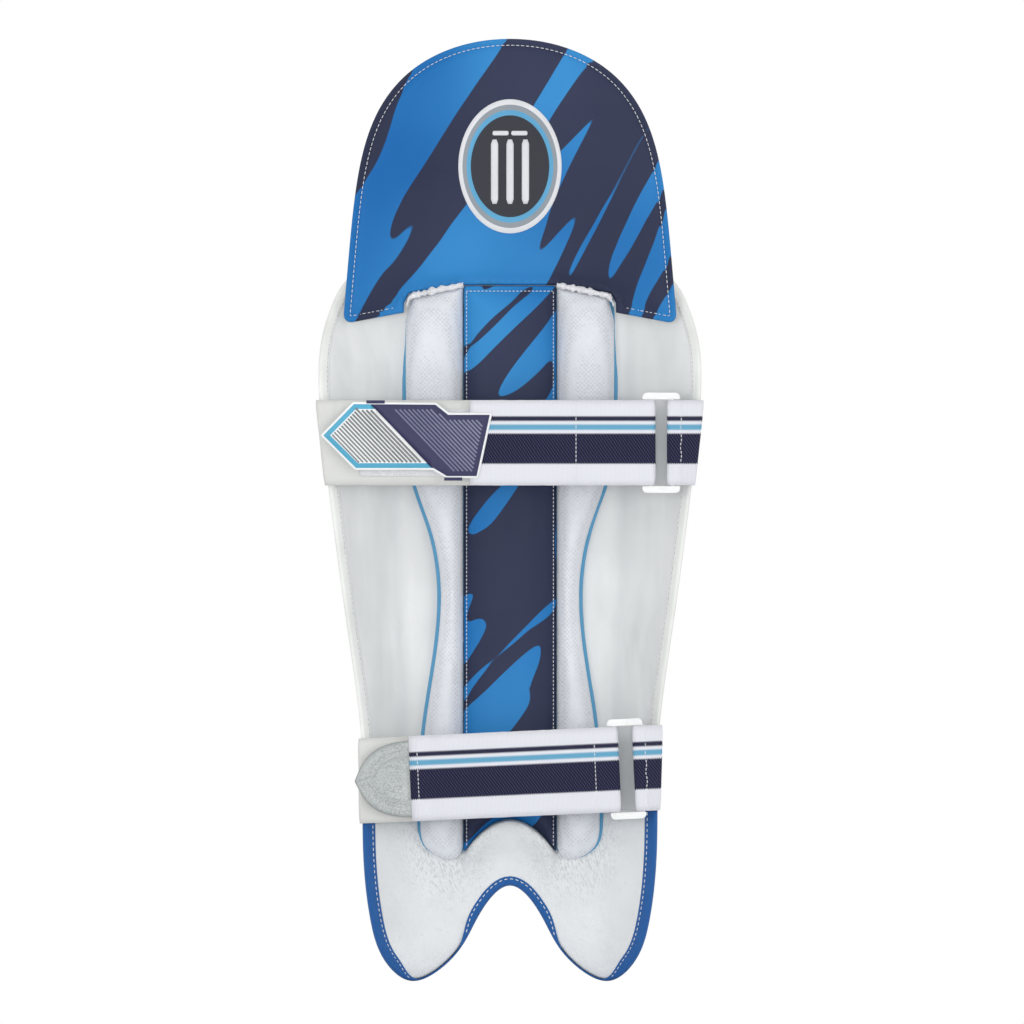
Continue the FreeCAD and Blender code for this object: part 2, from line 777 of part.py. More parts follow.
def ring(strap):
    """Two round side bars between two flat end bars, which reach beyond them."""
    half_wide = strap["ring_width"] / 2
    left, right = bars(strap)
    inner = strap_width / 2 + ring_slack
    corners = [(-half_wide, inner), (half_wide, inner),
               (half_wide, inner + ring_cap), (-half_wide, inner + ring_cap)]
    radii = [ring_inner_corner, ring_inner_corner, ring_corner, ring_corner]
    cap = Part.Face(rounded_polygon(corners, radii)).extrude(Vector(0, ring_wall, 0))
    cap.translate(Vector(0, -ring_wall / 2, 0))
    pieces = [cap.mirror(Vector(0, 0, 0), Vector(0, 0, 1))]
    for along in (left, right):
        foot = Vector(along - strap["ring"], 0, -inner - ring_cap / 2)
        pieces.append(Part.makeCylinder(bar_radius, 2 * inner + ring_cap, foot))
    body = cap.multiFuse(pieces)
    body.rotate(Vector(0, 0, 0), Vector(0, 1, 0), -strap["tilt"])
    body.translate(strap_spot(strap, strap["ring"], ring_depth(strap), 0))
    return body


def build_strap(parts, strap, tab_points):
    """A strap's white under layer, its webbing with the tab, its ring and the ring's anchor."""
    name, loop, hook = strap["name"] + "_", strap["loop_tape"], strap["hook_tape"]
    web_near, web_far = layer_pitch - half_web, layer_pitch + half_web
    left = min(along for along, across in tab_points)
    right = max(along for along, across in tab_points)
    outline = strap_outline(strap, tab_points)
    backing = prism(inset(outline, tab_margin))
    parts[name + "under_strap"] = under_strap(strap)
    parts[name + "loop_tape"] = flat_layer(
        strap, loop[0], loop[1], loop_near, loop_near + tape_thickness, tape_width / 2)
    parts[name + "webbing"] = webbing(strap)
    parts[name + "hook_tape"] = flat_layer(
        strap, hook[0], hook[1], hook_near, hook_near + tape_thickness, tape_width / 2).common(backing)
    parts[name + "tab_backing"] = flat_layer(
        strap, left, strap["webbing_end"] - layer_gap, web_near, web_far).common(backing)
    parts[name + "tab"] = flat_layer(
        strap, left - tab_margin, right + tab_margin, web_far + layer_gap,
        web_far + layer_gap + tab_thickness).common(prism(outline))
    parts[name + "anchor_loop"] = anchor_loop(strap)
    parts[name + "ring"] = ring(strap)


# ---------------------------------------------------------------- assembly
def shin_seat():
    """The origin: the middle of the centre bolster's face, halfway between the straps."""
    z = (KNEE["height"] + ANKLE["height"]) / 2
    return Vector(0, centre_leg(0, z), z)


def build():
    parts = {}
    build_board(parts)
    build_wings(parts)
    build_instep(parts)
    build_ribs(parts)
    build_knee_rolls(parts)
    build_cushion(parts)
    build_flap(parts)
    for strap, tab_points in ((KNEE, knee_tab_points), (ANKLE, ankle_tab_points)):
        build_strap(parts, strap, tab_points)
    origin = shin_seat()
    for shape in parts.values():
        shape.translate(-origin)
    return parts


def export(parts):
    os.makedirs("parts", exist_ok=True)
    for name, shape in parts.items():
        shape.exportStep("parts/" + name + ".step")


export(build())
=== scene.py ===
"""Visual model of a cricket batting leg pad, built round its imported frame.

Forms are worked out in millimetres in the pad's own axes: height 0 at the lowest point, depth 0 at
the board's leg face, +Y towards the front. place() moves a point to the frame and to metres.
"""
import math

import bpy
import bmesh
import numpy as np
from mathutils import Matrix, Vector, geometry, noise


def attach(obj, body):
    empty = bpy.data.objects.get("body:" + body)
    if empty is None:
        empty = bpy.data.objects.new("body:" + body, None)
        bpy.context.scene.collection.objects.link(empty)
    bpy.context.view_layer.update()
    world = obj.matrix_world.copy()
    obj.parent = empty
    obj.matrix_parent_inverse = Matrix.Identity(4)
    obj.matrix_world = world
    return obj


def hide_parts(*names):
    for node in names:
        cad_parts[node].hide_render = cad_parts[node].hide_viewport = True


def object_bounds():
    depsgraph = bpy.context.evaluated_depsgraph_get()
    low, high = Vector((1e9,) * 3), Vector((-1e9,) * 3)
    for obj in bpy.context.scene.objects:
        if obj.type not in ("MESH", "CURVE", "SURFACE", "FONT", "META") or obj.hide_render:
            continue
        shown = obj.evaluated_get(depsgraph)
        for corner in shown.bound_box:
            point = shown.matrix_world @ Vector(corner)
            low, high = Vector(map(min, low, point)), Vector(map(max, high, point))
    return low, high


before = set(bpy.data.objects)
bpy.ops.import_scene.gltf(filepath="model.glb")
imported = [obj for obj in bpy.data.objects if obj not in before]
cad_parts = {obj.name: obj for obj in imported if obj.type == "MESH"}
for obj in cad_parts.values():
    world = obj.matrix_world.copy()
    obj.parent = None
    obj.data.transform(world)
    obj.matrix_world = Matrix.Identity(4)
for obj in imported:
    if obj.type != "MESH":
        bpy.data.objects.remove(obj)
cad_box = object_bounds()

# ---------------------------------------------------------------- the pad's design sizes
SEAT_DEPTH, SEAT_HEIGHT = 20.85, 277.5  # from the pad's own axes to the frame
BOARD_TOP, SEAM, ARCH_TOP = 519.0, 128.0, 71.0  # heights; the instep is sewn on at SEAM
CURL_RADIUS = 20.0
LINING, FACE, RIM = 1.35, 10.85, 12.1  # how far the layers reach from the board's leg face
BACKING, BOLSTER_BACK, BOLSTER_TOP = 2.7, 2.85, 518.0
CENTRE_HALF, SIDE_INNER = 34.3, 34.8  # the bolsters' edges, across from the middle
FLAP_TOP, FLAP_LOW, NOTCH, FLAP_SKIN = 702.0, 490.0, 79.0, 2.4
STRAP_HALF, WEB, UNDER = 31.75, 1.8, 2.0  # half a strap's width, and the webbings' thicknesses
TAPE, TAPE_HALF, TAB, SEAM_HALF = 1.7, 25.0, 1.8, 30.5  # thicknesses and half widths on a strap
PITCH, CLEAR = 5.9, 0.15  # between the webbing's two runs round a bar, and between layers
WING_EDGE = [
    (110, 128), (110, 165), (119.5, 250), (130, 325), (138, 390), (142.5, 440), (141, 475),
    (133, 503), (119, 525), (100, 533)]
LOBE = [(109.3, 92), (104, 45), (92, 13), (74, 0), (53, 8), (35, 27), (20, 54)]
BOLSTER_EDGE = [
    (51.5, 91.3), (62.8, 99.5), (66.8, 122), (63, 190), (55, 243), (51.5, 290), (58.5, 335),
    (69.5, 367), (77.5, 434), (77.5, 492)]
RIM_WIDTH = 8.0
RIM_PROFILE = [  # how far in from the edge, and how far towards the leg
    (8.0, 1.5), (7.9, 2.2), (7.3, 2.6), (5.5, 2.55), (3.2, 2.6), (1.4, 2.1), (0.45, 1.1), (0.0, -0.6),
    (0.0, -8.6), (0.45, -10.6), (1.4, -11.6), (3.2, -12.0), (5.5, -12.05), (7.3, -12.1), (7.9, -11.7),
    (8.0, -10.9), (1.6, -10.85), (1.6, 1.35)]
DOME_LEVELS = (0.04, 0.25, 0.45, 0.6, 0.75, 0.87, 0.95)
# Places on a strap are given along it, to the right of the middle, and across it, upwards.
KNEE = {
    "name": "knee", "height": 401.0, "tilt": 0.0, "bars": (104.65, 120.75), "level": -61.99,
    "under_end": 34.0, "stitch": 47.7, "start": -30.0, "rise": 0.0, "seams": (49.2,),
    "anchor_seam": 127.4, "loop": (-112.0, 12.0), "hook_end": -34.0}
ANKLE = {
    "name": "ankle", "height": 154.0, "tilt": 2.6, "bars": (77.9, 96.1), "level": -51.4,
    "under_end": 40.0, "stitch": 52.0, "start": -74.5, "rise": 3.95, "seams": (63.7, -68.5),
    "anchor_seam": 101.6, "loop": (-84.0, 16.0), "hook_end": -65.0}
KNEE_TAB = [
    (-141.5, 5.5), (-117, 30.5), (-55, 30), (-45.5, 22.5), (-13, 22.5), (-23.5, -26.5),
    (-47.5, -26.5), (-57.5, -20.5), (-115.5, -20.5)]
ANKLE_TAB = [(-114, 0), (-72, 29.5), (-62, 29.5), (-62, -29.5), (-72, -29.5)]


def smooth(value, start, end):
    share = min(1.0, max(0.0, (value - start) / (end - start)))
    return share * share * (3.0 - 2.0 * share)


def half_board(z):
    return 68.0 + 16.0 * (z - SEAM) / (BOARD_TOP - SEAM)


def curl(z):
    """How steeply the wings rise towards the leg."""
    full = 1.10 - 0.35 * smooth(z, ANKLE["height"], KNEE["height"])
    return full * (1.0 - smooth(z, 430.0, 535.0))


def trough(x, z, offset=0.0):
    """Depth of the layer that lies offset from the board's leg face, towards the leg."""
    beyond = max(0.0, abs(x) - half_board(z))
    bend = math.hypot(beyond, CURL_RADIUS)
    spine = 16.0 * max(0.0, 1.0 - z / 150.0) ** 2 + 8.0 * smooth(z, 440.0, BOARD_TOP)
    slope = abs(x) / 500.0 + curl(z) * beyond / bend
    return spine - x * x / 1000.0 - curl(z) * (bend - CURL_RADIUS) - offset * math.hypot(1.0, slope)


def layer(offset):
    """A pad's side that follows the board at an offset."""
    return lambda x, z, d: trough(x, z, offset)


def flap_leg(x):
    return 1.0 - x * x / 540.0


def flap_front(x, z):
    across = min(1.0, abs(x) / NOTCH)
    middle = (BOARD_TOP + FLAP_TOP) / 2.0
    up = min(1.0, max(0.0, z - middle) / (FLAP_TOP - middle))
    return flap_leg(x) + 7.0 + 9.0 * (1.0 - across ** 3) * (1.0 - up ** 4)


def rumple(x, z, size, seed):
    """Smooth noise from -1 to 1 with bumps of about size."""
    return noise.noise(Vector((x / size, z / size, seed * 7.3)))


def crease(x, z, size, seed):
    """Narrow valleys, from 0 to 1, between lumps of about size."""
    return (1.0 - min(1.0, abs(rumple(x, z, size, seed)) * 5.0)) ** 2


def groove(d, middle, width):
    """A soft line, 1 deep where d is middle."""
    return math.exp(-((d - middle) / width) ** 2)


def rounded(d, radius):
    """How far a rounded edge falls back at a distance d from the outline."""
    reach = radius - min(d, radius)
    return radius - math.sqrt(max(0.0, radius * radius - reach * reach))


def face_front(radius, seams=(), soft=lambda x, z, d: 0.0):
    """The outer side of a padded panel, with a stitched groove at each distance in seams."""
    def side(x, z, d):
        stitched = sum(0.9 * groove(d, at, 1.2) for at in seams)
        return trough(x, z, -FACE) - rounded(d, radius) - stitched + soft(x, z, d)

    return side


def puff(d, depth, reach):
    """How far a stuffed panel swells at a distance d from its outline."""
    return depth * (1.0 - math.exp(-d / reach))


def circle(count):
    """Cosine and sine of evenly spaced angles round a full turn."""
    return [(math.cos(math.tau * k / count), math.sin(math.tau * k / count)) for k in range(count)]


# ---------------------------------------------------------------- outlines in the XZ plane
def curve(points, step):
    """Evenly spaced points on the natural cubic curve through design points."""
    p = np.array(points, float)
    h = np.hypot(*np.diff(p, axis=0).T)
    count = len(p)
    a, b = np.eye(count), np.zeros((count, 2))
    for i in range(1, count - 1):
        a[i, i - 1:i + 2] = h[i - 1], 2 * (h[i - 1] + h[i]), h[i]
        b[i] = 6 * ((p[i + 1] - p[i]) / h[i] - (p[i] - p[i - 1]) / h[i - 1])
    m = np.linalg.solve(a, b)
    fine = []
    for i in range(count - 1):
        for t in np.linspace(0, h[i], 30, endpoint=False):
            u = h[i] - t
            fine.append(
                (m[i] * u ** 3 + m[i + 1] * t ** 3) / (6 * h[i])
                + (p[i] / h[i] - m[i] * h[i] / 6) * u + (p[i + 1] / h[i] - m[i + 1] * h[i] / 6) * t)
    fine.append(p[-1])
    return even(fine, step)


def even(points, step):
    """Evenly spaced points on a chain of straight lines."""
    p = np.array(points, float)
    along = np.r_[0, np.cumsum(np.hypot(*np.diff(p, axis=0).T))]
    places = np.linspace(0, along[-1], max(2, int(round(along[-1] / step)) + 1))
    return np.stack([np.interp(places, along, p[:, k]) for k in (0, 1)], 1)


def chain(points, step):
    """Straight runs between points, each evenly divided, so that the corners stay."""
    runs = [even([a, b], step)[:-1] for a, b in zip(points, points[1:])]
    return np.concatenate(runs + [np.array([points[-1]], float)])


def loop(*runs):
    """One closed outline, counter-clockwise, from runs that follow each other."""
    points = np.concatenate([run[:-1] for run in runs])
    area = np.sum(points[:, 0] * np.roll(points[:, 1], -1) - np.roll(points[:, 0], -1) * points[:, 1])
    return points if area > 0 else points[::-1]


def closed(outline, side=1):
    """A closed outline again counter-clockwise, mirrored where side is -1."""
    return loop(np.vstack([outline, outline[:1]]) * (side, 1))


def polygon(points, step):
    return loop(chain(list(points) + [points[0]], step))


def mirrored(points):
    return [(-x, z) for x, z in points]


def inward(line, ends_meet=True):
    """At each point, the vector whose multiple by d moves the outline inwards by d."""
    ahead = np.roll(line, -1, 0) - line
    back = line - np.roll(line, 1, 0)
    if not ends_meet:
        ahead[-1], back[0] = back[-1], ahead[0]
    total = 0
    for way in (ahead, back):
        way = way / np.maximum(1e-9, np.hypot(way[:, 0], way[:, 1]))[:, None]
        total = total + np.stack([-way[:, 1], way[:, 0]], 1)
    return 2.0 * total / np.maximum(0.8, (total ** 2).sum(1))[:, None]


def edge_distance(points, outline):
    a, b = outline[None], np.roll(outline, -1, 0)[None]
    p = points[:, None]
    t = ((p - a) * (b - a)).sum(2) / np.maximum(1e-9, ((b - a) ** 2).sum(2))
    near = a + np.clip(t, 0, 1)[..., None] * (b - a)
    return np.sqrt(((p - near) ** 2).sum(2)).min(1)


def inside(points, outline):
    x, z = points[:, None, 0], points[:, None, 1]
    a, b = outline[None], np.roll(outline, -1, 0)[None]
    spans = (a[..., 1] > z) != (b[..., 1] > z)
    rise = np.where(spans, b[..., 1] - a[..., 1], 1.0)
    left = x < a[..., 0] + (z - a[..., 1]) * (b[..., 0] - a[..., 0]) / rise
    return (spans & left).sum(1) % 2 == 1


def fill(outline, step, rings, creases=None):
    """Points and triangles inside an outline, and each point's distance from it.

    creases are more points, where the surface turns sharply and the grid keeps clear."""
    sets = [outline]
    vectors = inward(outline)
    for d in rings:
        ring = outline + vectors * d
        good = inside(ring, outline) & (edge_distance(ring, outline) > 0.9 * d)
        sets.append(ring[good][::2 if d > 2.5 else 1])
    low, high = outline.min(0), outline.max(0)
    grid = np.array([
        (x, z) for i, z in enumerate(np.arange(low[1], high[1], step * 0.87))
        for x in np.arange(low[0] + (i % 2) * step / 2, high[0], step)])
    grid = grid[inside(grid, outline)]
    grid = grid[edge_distance(grid, outline) > rings[-1] + step * 0.6]
    if creases is not None:
        gap = np.sqrt(((grid[:, None] - creases[None]) ** 2).sum(2)).min(1)
        grid = grid[gap > 0.4 * step]
        sets.append(creases)
    points = np.concatenate(sets + [grid])
    border = [list(range(len(outline)))]
    made = geometry.delaunay_2d_cdt([Vector(p) for p in points], [], border, 1, 1e-5)
    points = np.array([tuple(v) for v in made[0]])
    return points, [list(f) for f in made[2]], edge_distance(points, outline)


CENTRE_ARCH = curve([(-34.3, 96.0), (-22.0, 110.5), (0.0, 121.0), (22.0, 110.5), (34.3, 96.0)], 1.0)
WING_SIDE = curve(WING_EDGE, 1.0)
WING_SIDE = WING_SIDE[WING_SIDE[:, 1] < 500]


# ---------------------------------------------------------------- meshes
def place(v):
    return v[0] / 1000.0, (v[1] + SEAT_DEPTH) / 1000.0, (v[2] - SEAT_HEIGHT) / 1000.0


def solid(name, skin, *materials, indices=None, sharp=False):
    """A new mesh object from points in millimetres and faces, with its normals outwards."""
    mesh = bpy.data.meshes.new(name)
    mesh.from_pydata([place(v) for v in skin[0]], [], skin[1])
    for material in materials:
        mesh.materials.append(material)
    if indices:
        mesh.polygons.foreach_set("material_index", indices)
    work = bmesh.new()
    work.from_mesh(mesh)
    bmesh.ops.remove_doubles(work, verts=work.verts, dist=1e-6)
    bmesh.ops.recalc_face_normals(work, faces=work.faces)
    for face in work.faces:
        face.smooth = not sharp
    work.to_mesh(mesh)
    work.free()
    obj = bpy.data.objects.new(name, mesh)
    bpy.context.scene.collection.objects.link(obj)
    return obj


def settle(obj, body, nodes=()):
    """Puts a finished piece on its body and what it stands for."""
    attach(obj, body)
    if nodes:
        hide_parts(*nodes)


def pad(name, outline, leg, front, material, step, rings, mapped=None, creases=None):
    """A closed pad over an outline: leg and front give the depth of its two sides at (x, z, d)."""
    points, tris, dist = fill(outline, step, rings, creases)
    count = len(points)
    put = mapped or (lambda x, y, z: (x, y, z))
    verts = [put(x, side(x, z, d), z) for side in (leg, front) for (x, z), d in zip(points, dist)]
    faces = tris + [[i + count for i in reversed(f)] for f in tris]
    faces += [[b, a, a + count, b + count] for a, b in boundary(tris)]
    return solid(name, (verts, faces), material)


def boundary(tris):
    """Edges that only one triangle has, in its direction."""
    seen = set()
    for f in tris:
        for a, b in zip(f, f[1:] + f[:1]):
            seen.add((a, b))
    return [(a, b) for a, b in seen if (b, a) not in seen]


def tube(rows):
    """Points and faces of a skin over rows that are each one closed ring, with both ends shut."""
    width, last = len(rows[0]), len(rows) - 1
    faces = []
    for i in range(last):
        for j in range(width):
            k = (j + 1) % width
            faces.append([i * width + j, i * width + k, (i + 1) * width + k, (i + 1) * width + j])
    faces += [list(range(width))[::-1], [last * width + j for j in range(width)]]
    return [v for row in rows for v in row], faces


def joined(parts):
    """Several lists of points and faces as one."""
    verts, faces = [], []
    for v, f in parts:
        faces += [[i + len(verts) for i in face] for face in f]
        verts += v
    return verts, faces


def stitches(name, line, body, length, gap, radius, material=None, normal=(0, -1, 0), lift=0.12):
    """Threads along a line, each a thin pillow on a surface that faces along normal."""
    line = np.array(line, float)
    n = np.array(normal, float) / np.linalg.norm(normal)
    along = np.r_[0, np.cumsum(np.linalg.norm(np.diff(line, axis=0), axis=1))]

    def spot(at):
        return np.array([np.interp(at, along, line[:, k]) for k in range(3)])

    parts, start = [], gap
    while start + length < along[-1]:
        rows = []
        for share, wide in ((0, 0.35), (0.12, 0.85), (0.5, 1.0), (0.88, 0.85), (1, 0.35)):
            at = start + share * length
            way = spot(at + 0.3) - spot(at - 0.3)
            side = np.cross(way / max(1e-9, np.linalg.norm(way)), n)
            middle = spot(at) + n * (lift - radius * 0.5 * (2 * share - 1) ** 2)
            rows.append([
                tuple(middle + radius * wide * (side * math.cos(angle) + n * math.sin(angle)))
                for angle in np.arange(6) * math.pi / 3])
        parts.append(tube(rows))
        start += length + gap
    settle(solid(name, joined(parts), material or THREAD_WHITE), body)


def inflate(obj, back, cap, pressure=4.0, frames=20):
    """Cloth simulation with air pressure.

    Points deeper than the layer back stay, the others move by no more than cap millimetres."""
    mesh = obj.data
    rest = np.zeros(len(mesh.vertices) * 3)
    mesh.vertices.foreach_get("co", rest)
    pinned = []
    for v in mesh.vertices:
        x, z = v.co.x * 1000.0, v.co.z * 1000.0 + SEAT_HEIGHT
        if v.co.y * 1000.0 - SEAT_DEPTH > trough(x, z, back):
            pinned.append(v.index)
    obj.vertex_groups.new(name="pin").add(pinned, 1.0, "REPLACE")
    mod = obj.modifiers.new("inflate", "CLOTH")
    for key, value in (
            ("use_pressure", True), ("uniform_pressure_force", pressure), ("quality", 4),
            ("vertex_group_mass", "pin"), ("bending_stiffness", 0.6)):
        setattr(mod.settings, key, value)
    mod.settings.effector_weights.gravity = 0.0
    mod.collision_settings.use_collision = False
    mod.point_cache.frame_end = frames
    for number in range(1, frames + 1):
        bpy.context.scene.frame_set(number)
    done = obj.evaluated_get(bpy.context.evaluated_depsgraph_get()).data
    swollen = np.zeros(len(rest))
    done.vertices.foreach_get("co", swollen)
    obj.modifiers.remove(mod)
    bpy.context.scene.frame_set(1)
    move = (swollen - rest).reshape(-1, 3)
    size = np.linalg.norm(move, axis=1)[:, None]
    move = np.nan_to_num(move) * np.minimum(1.0, cap / 1000.0 / np.maximum(size, 1e-9))
    mesh.vertices.foreach_set("co", (rest.reshape(-1, 3) + move).ravel())
    mesh.update()


# ---------------------------------------------------------------- materials
def linear(rgb):
    """A colour given as 0 to 255 in sRGB, as linear values."""
    values = [c / 255.0 for c in rgb]
    return tuple(v / 12.92 if v < 0.04045 else ((v + 0.055) / 1.055) ** 2.4 for v in values) + (1.0,)


def shade(rgb, factor):
    return tuple(min(255, c * factor) for c in rgb)


class Finish:
    """A node material with a Principled shader and helpers that add nodes."""

    def __init__(self, name, roughness, **sockets):
        self.material = bpy.data.materials.new(name)
        self.material.use_nodes = True
        self.tree = self.material.node_tree
        self.tree.nodes.clear()
        output = self.tree.nodes.new("ShaderNodeOutputMaterial")
        self.shader = self.tree.nodes.new("ShaderNodeBsdfPrincipled")
        self.tree.links.new(self.shader.outputs[0], output.inputs[0])
        self.shader.inputs["Roughness"].default_value = roughness
        for name, value in sockets.items():
            self.shader.inputs[name.replace("_", " ")].default_value = value
        self.coords = self.add("TexCoord").outputs["Object"]

    def add(self, kind, inputs=None, **settings):
        node = self.tree.nodes.new("ShaderNode" + kind)
        for key, value in settings.items():
            setattr(node, key, value)
        for key, value in (inputs or {}).items():
            if isinstance(value, bpy.types.NodeSocket):
                self.tree.links.new(value, node.inputs[key])
            else:
                node.inputs[key].default_value = value
        return node

    def math(self, operation, a, b=0.0):
        return self.add("Math", {0: a, 1: b}, operation=operation).outputs[0]

    def times(self, *factors):
        product = factors[0]
        for factor in factors[1:]:
            product = self.math("MULTIPLY", product, factor)
        return product

    def part(self, vector, index):
        return self.add("SeparateXYZ", {0: vector}).outputs[index]

    def turned(self, scale=(1, 1, 1), angle=0.0, shift=(0, 0, 0), vector=None):
        """Coordinates that are scaled, turned in the XZ plane and moved."""
        inputs = {"Vector": vector or self.coords, "Scale": scale, "Rotation": (0, angle, 0),
                  "Location": shift}
        return self.add("Mapping", inputs).outputs[0]

    def texture(self, kind, output, vector, scale, settings=None, **inputs):
        inputs.update(Vector=vector or self.coords, Scale=scale)
        return self.add("Tex" + kind, inputs, **(settings or {})).outputs[output]

    def noise(self, scale, detail=2.0, vector=None, distortion=0.0):
        return self.texture("Noise", 0, vector, scale, Detail=detail, Distortion=distortion)

    def cells(self, scale, vector=None, randomness=1.0):
        return self.texture("Voronoi", "Distance", vector, scale, Randomness=randomness)

    def wave(self, scale, direction, vector=None):
        return self.texture("Wave", "Fac", vector, scale, {"bands_direction": direction})

    def grey(self, value, low, high, start=0.0, end=1.0):
        """A number that goes from start to end while value goes from low to high."""
        inputs = {"Value": value, "From Min": low, "From Max": high, "To Min": start, "To Max": end}
        return self.add("MapRange", inputs, clamp=True).outputs[0]

    def mix(self, factor, a, b):
        a, b = (v if isinstance(v, bpy.types.NodeSocket) else linear(v) for v in (a, b))
        return self.add("Mix", {0: factor, 6: a, 7: b}, data_type="RGBA").outputs[2]

    def color(self, value):
        self.tree.links.new(value, self.shader.inputs["Base Color"])

    def tones(self, rgb, first, *layers):
        """Colours with rgb times first, and over it, by each layer's factor, rgb times its share."""
        base = shade(rgb, first)
        for factor, share in layers:
            base = self.mix(factor, base, shade(rgb, share))
        self.color(base)

    def bump(self, height, distance, strength=1.0):
        """Adds a bump of a depth in metres on top of those already there."""
        inputs = {"Height": height, "Distance": distance, "Strength": strength}
        before = self.shader.inputs["Normal"]
        if before.is_linked:
            inputs["Normal"] = before.links[0].from_socket
        self.tree.links.new(self.add("Bump", inputs).outputs[0], before)

    def rough(self, factor, low, high):
        self.tree.links.new(self.grey(factor, 0.0, 1.0, low, high), self.shader.inputs["Roughness"])

    def threads(self, pitch, depth):
        """Bump of a plain weave with a thread pitch in metres. Gives its two sets of threads."""
        warp, weft = self.wave(0.5 / pitch, "X"), self.wave(0.5 / pitch, "Z")
        self.bump(self.times(warp, weft), depth)
        return warp, weft


def leather(name, rgb, grain=1100.0, roughness=0.46, depth=0.00008, stain=0.05, creased_and_shaded=False):
    """Coated leather-like skin with a fine pebble grain, faint stains and scuffs; with creases on, soft
    crease bumps get painted shade and painted highlight along them.
    """
    f = Finish(name, roughness, Specular_IOR_Level=0.4)
    large = f.noise(16.0, 4.0)
    streaks = f.noise(60.0, 4.0, f.turned((1.0, 1.0, 0.25)))
    layers = [(f.grey(large, 0.35, 0.7), 1.0 + stain * 0.5), (f.grey(streaks, 0.62, 0.85), 0.93)]
    if creased_and_shaded:
        folds_and_shade = f.noise(38.0, 2.0, f.turned((1.0, 1.0, 0.22)))
        # painted shade and painted highlight along the creases: darker where the crease noise is high,
        # lighter where it is low
        layers += [(f.grey(folds_and_shade, 0.45, 0.68, 0.0, 0.6), 0.93), (f.grey(folds_and_shade, 0.42, 0.28, 0.0, 0.6), 1.05)]
        f.bump(folds_and_shade, 0.0026, 0.7)
    f.tones(rgb, 1.0 - stain, *layers)
    f.rough(large, roughness - 0.07, roughness + 0.1)
    f.bump(f.math("ADD", f.cells(grain), f.times(f.noise(grain * 1.7, 3.0), 0.5)), depth)
    f.bump(f.noise(45.0, 3.0), 0.0006, 0.35)
    return f.material


def knit(name, rgb, pitch=0.0023):
    """Open mesh knit: rows of small pits in a white cloth, with painted shade in the pits."""
    f = Finish(name, 0.85, Sheen_Weight=0.25, Sheen_Roughness=0.5)
    pits = f.cells(1.0 / pitch, f.turned((1, 0.3, 1), math.radians(45)), 0.25)
    cloud = f.noise(22.0, 3.0)
    # the pits are painted darker, as the shade that falls in them
    f.tones(rgb, 0.965, (f.grey(cloud, 0.3, 0.75), 1.02), (f.grey(pits, 0.5, 0.15, 0.0, 0.55), 0.86))
    f.bump(f.grey(pits, 0.1, 0.5), 0.00035, 0.8)
    f.bump(f.noise(2600.0), 0.0002, 0.6)
    return f.material


def nap(name, rgb, foot=(0.047, -0.165), reach=(0.046, 0.016)):
    """Short brushed pile in small patches, ruffled round the side bolsters' feet, with painted shade on the
    ruffled strokes.

    foot is where a bolster ends, and reach how far from there the ruffling starts and is full."""
    f = Finish(name, 0.95, Sheen_Weight=0.35, Sheen_Roughness=0.6)
    tufts, cloud = f.noise(190.0, 4.0), f.noise(20.0, 3.0)
    aside = f.math("SUBTRACT", f.math("ABSOLUTE", f.part(f.coords, 0)), foot[0])
    above = f.times(f.math("SUBTRACT", f.part(f.coords, 2), foot[1]), 0.7)
    away = f.math("SQRT", f.math("ADD", f.times(aside, aside), f.times(above, above)))
    lean = f.turned((1.0, 1.0, 0.22), vector=f.turned(angle=math.radians(20)))
    strokes_and_shade = f.times(f.grey(f.noise(1150.0, 2.0, lean), 0.5, 0.66), f.grey(away, *reach))
    # the ruffled strokes are painted darker, as painted shade of the disturbed pile
    f.tones(rgb, 0.97, (f.grey(cloud, 0.3, 0.7), 1.02), (f.grey(tufts, 0.6, 0.85), 0.95),
            (f.times(strokes_and_shade, 0.6), 0.72))
    f.bump(tufts, 0.0010, 0.45)
    f.bump(strokes_and_shade, 0.0006, 0.5)
    f.bump(f.noise(1500.0, 3.0, f.turned((1.0, 1.0, 0.35))), 0.0005, 0.7)
    return f.material


def printed(name, angle, seed, wide, share, quiet=None):
    """Coated cloth with a print of long tapering streaks, blue on navy, at an angle to the upright, under
    broad patches of painted light and shade.

    wide is how many streaks there are in a metre, share how much stays navy, and quiet a stretch of
    heights that is almost plain, with the length over which it fades."""
    f = Finish(name, 0.5, Specular_IOR_Level=0.18)
    around = f.turned(angle=math.radians(angle), shift=(seed, 0, seed))
    long_way = f.turned((1.0, 1.0, 0.12), vector=around)
    drift = f.noise(wide, 0.0, long_way, 0.7)
    swing = f.times(f.noise(wide * 0.35, 1.0, long_way), 27.2)
    bands = f.math("SINE", f.math("ADD", f.times(f.part(around, 0), wide * math.tau), swing))
    level = f.math("ADD", drift, f.times(bands, 0.12))
    if quiet:
        height = f.part(f.coords, 2)
        low, high, fade = quiet
        calm = f.times(f.grey(height, low - fade, low), f.grey(height, high + fade, high))
        level = f.math("SUBTRACT", level, f.times(calm, 0.13))
    # broad painted light and shade over the print, from a slow noise, standing in for the bulge's shading
    bend = f.noise(6.0, 1.0, around)
    blue = f.mix(f.grey(bend, 0.35, 0.65), (16, 98, 166), (50, 134, 196))
    navy = f.mix(f.grey(bend, 0.3, 0.7), (36, 42, 66), (47, 53, 79))
    f.color(f.mix(f.grey(level, share, share + 0.008), navy, blue))
    f.threads(0.0009, 0.00006)
    f.bump(f.noise(35.0, 3.0), 0.0009, 0.35)
    f.rough(f.noise(60.0, 3.0), 0.42, 0.6)
    return f.material


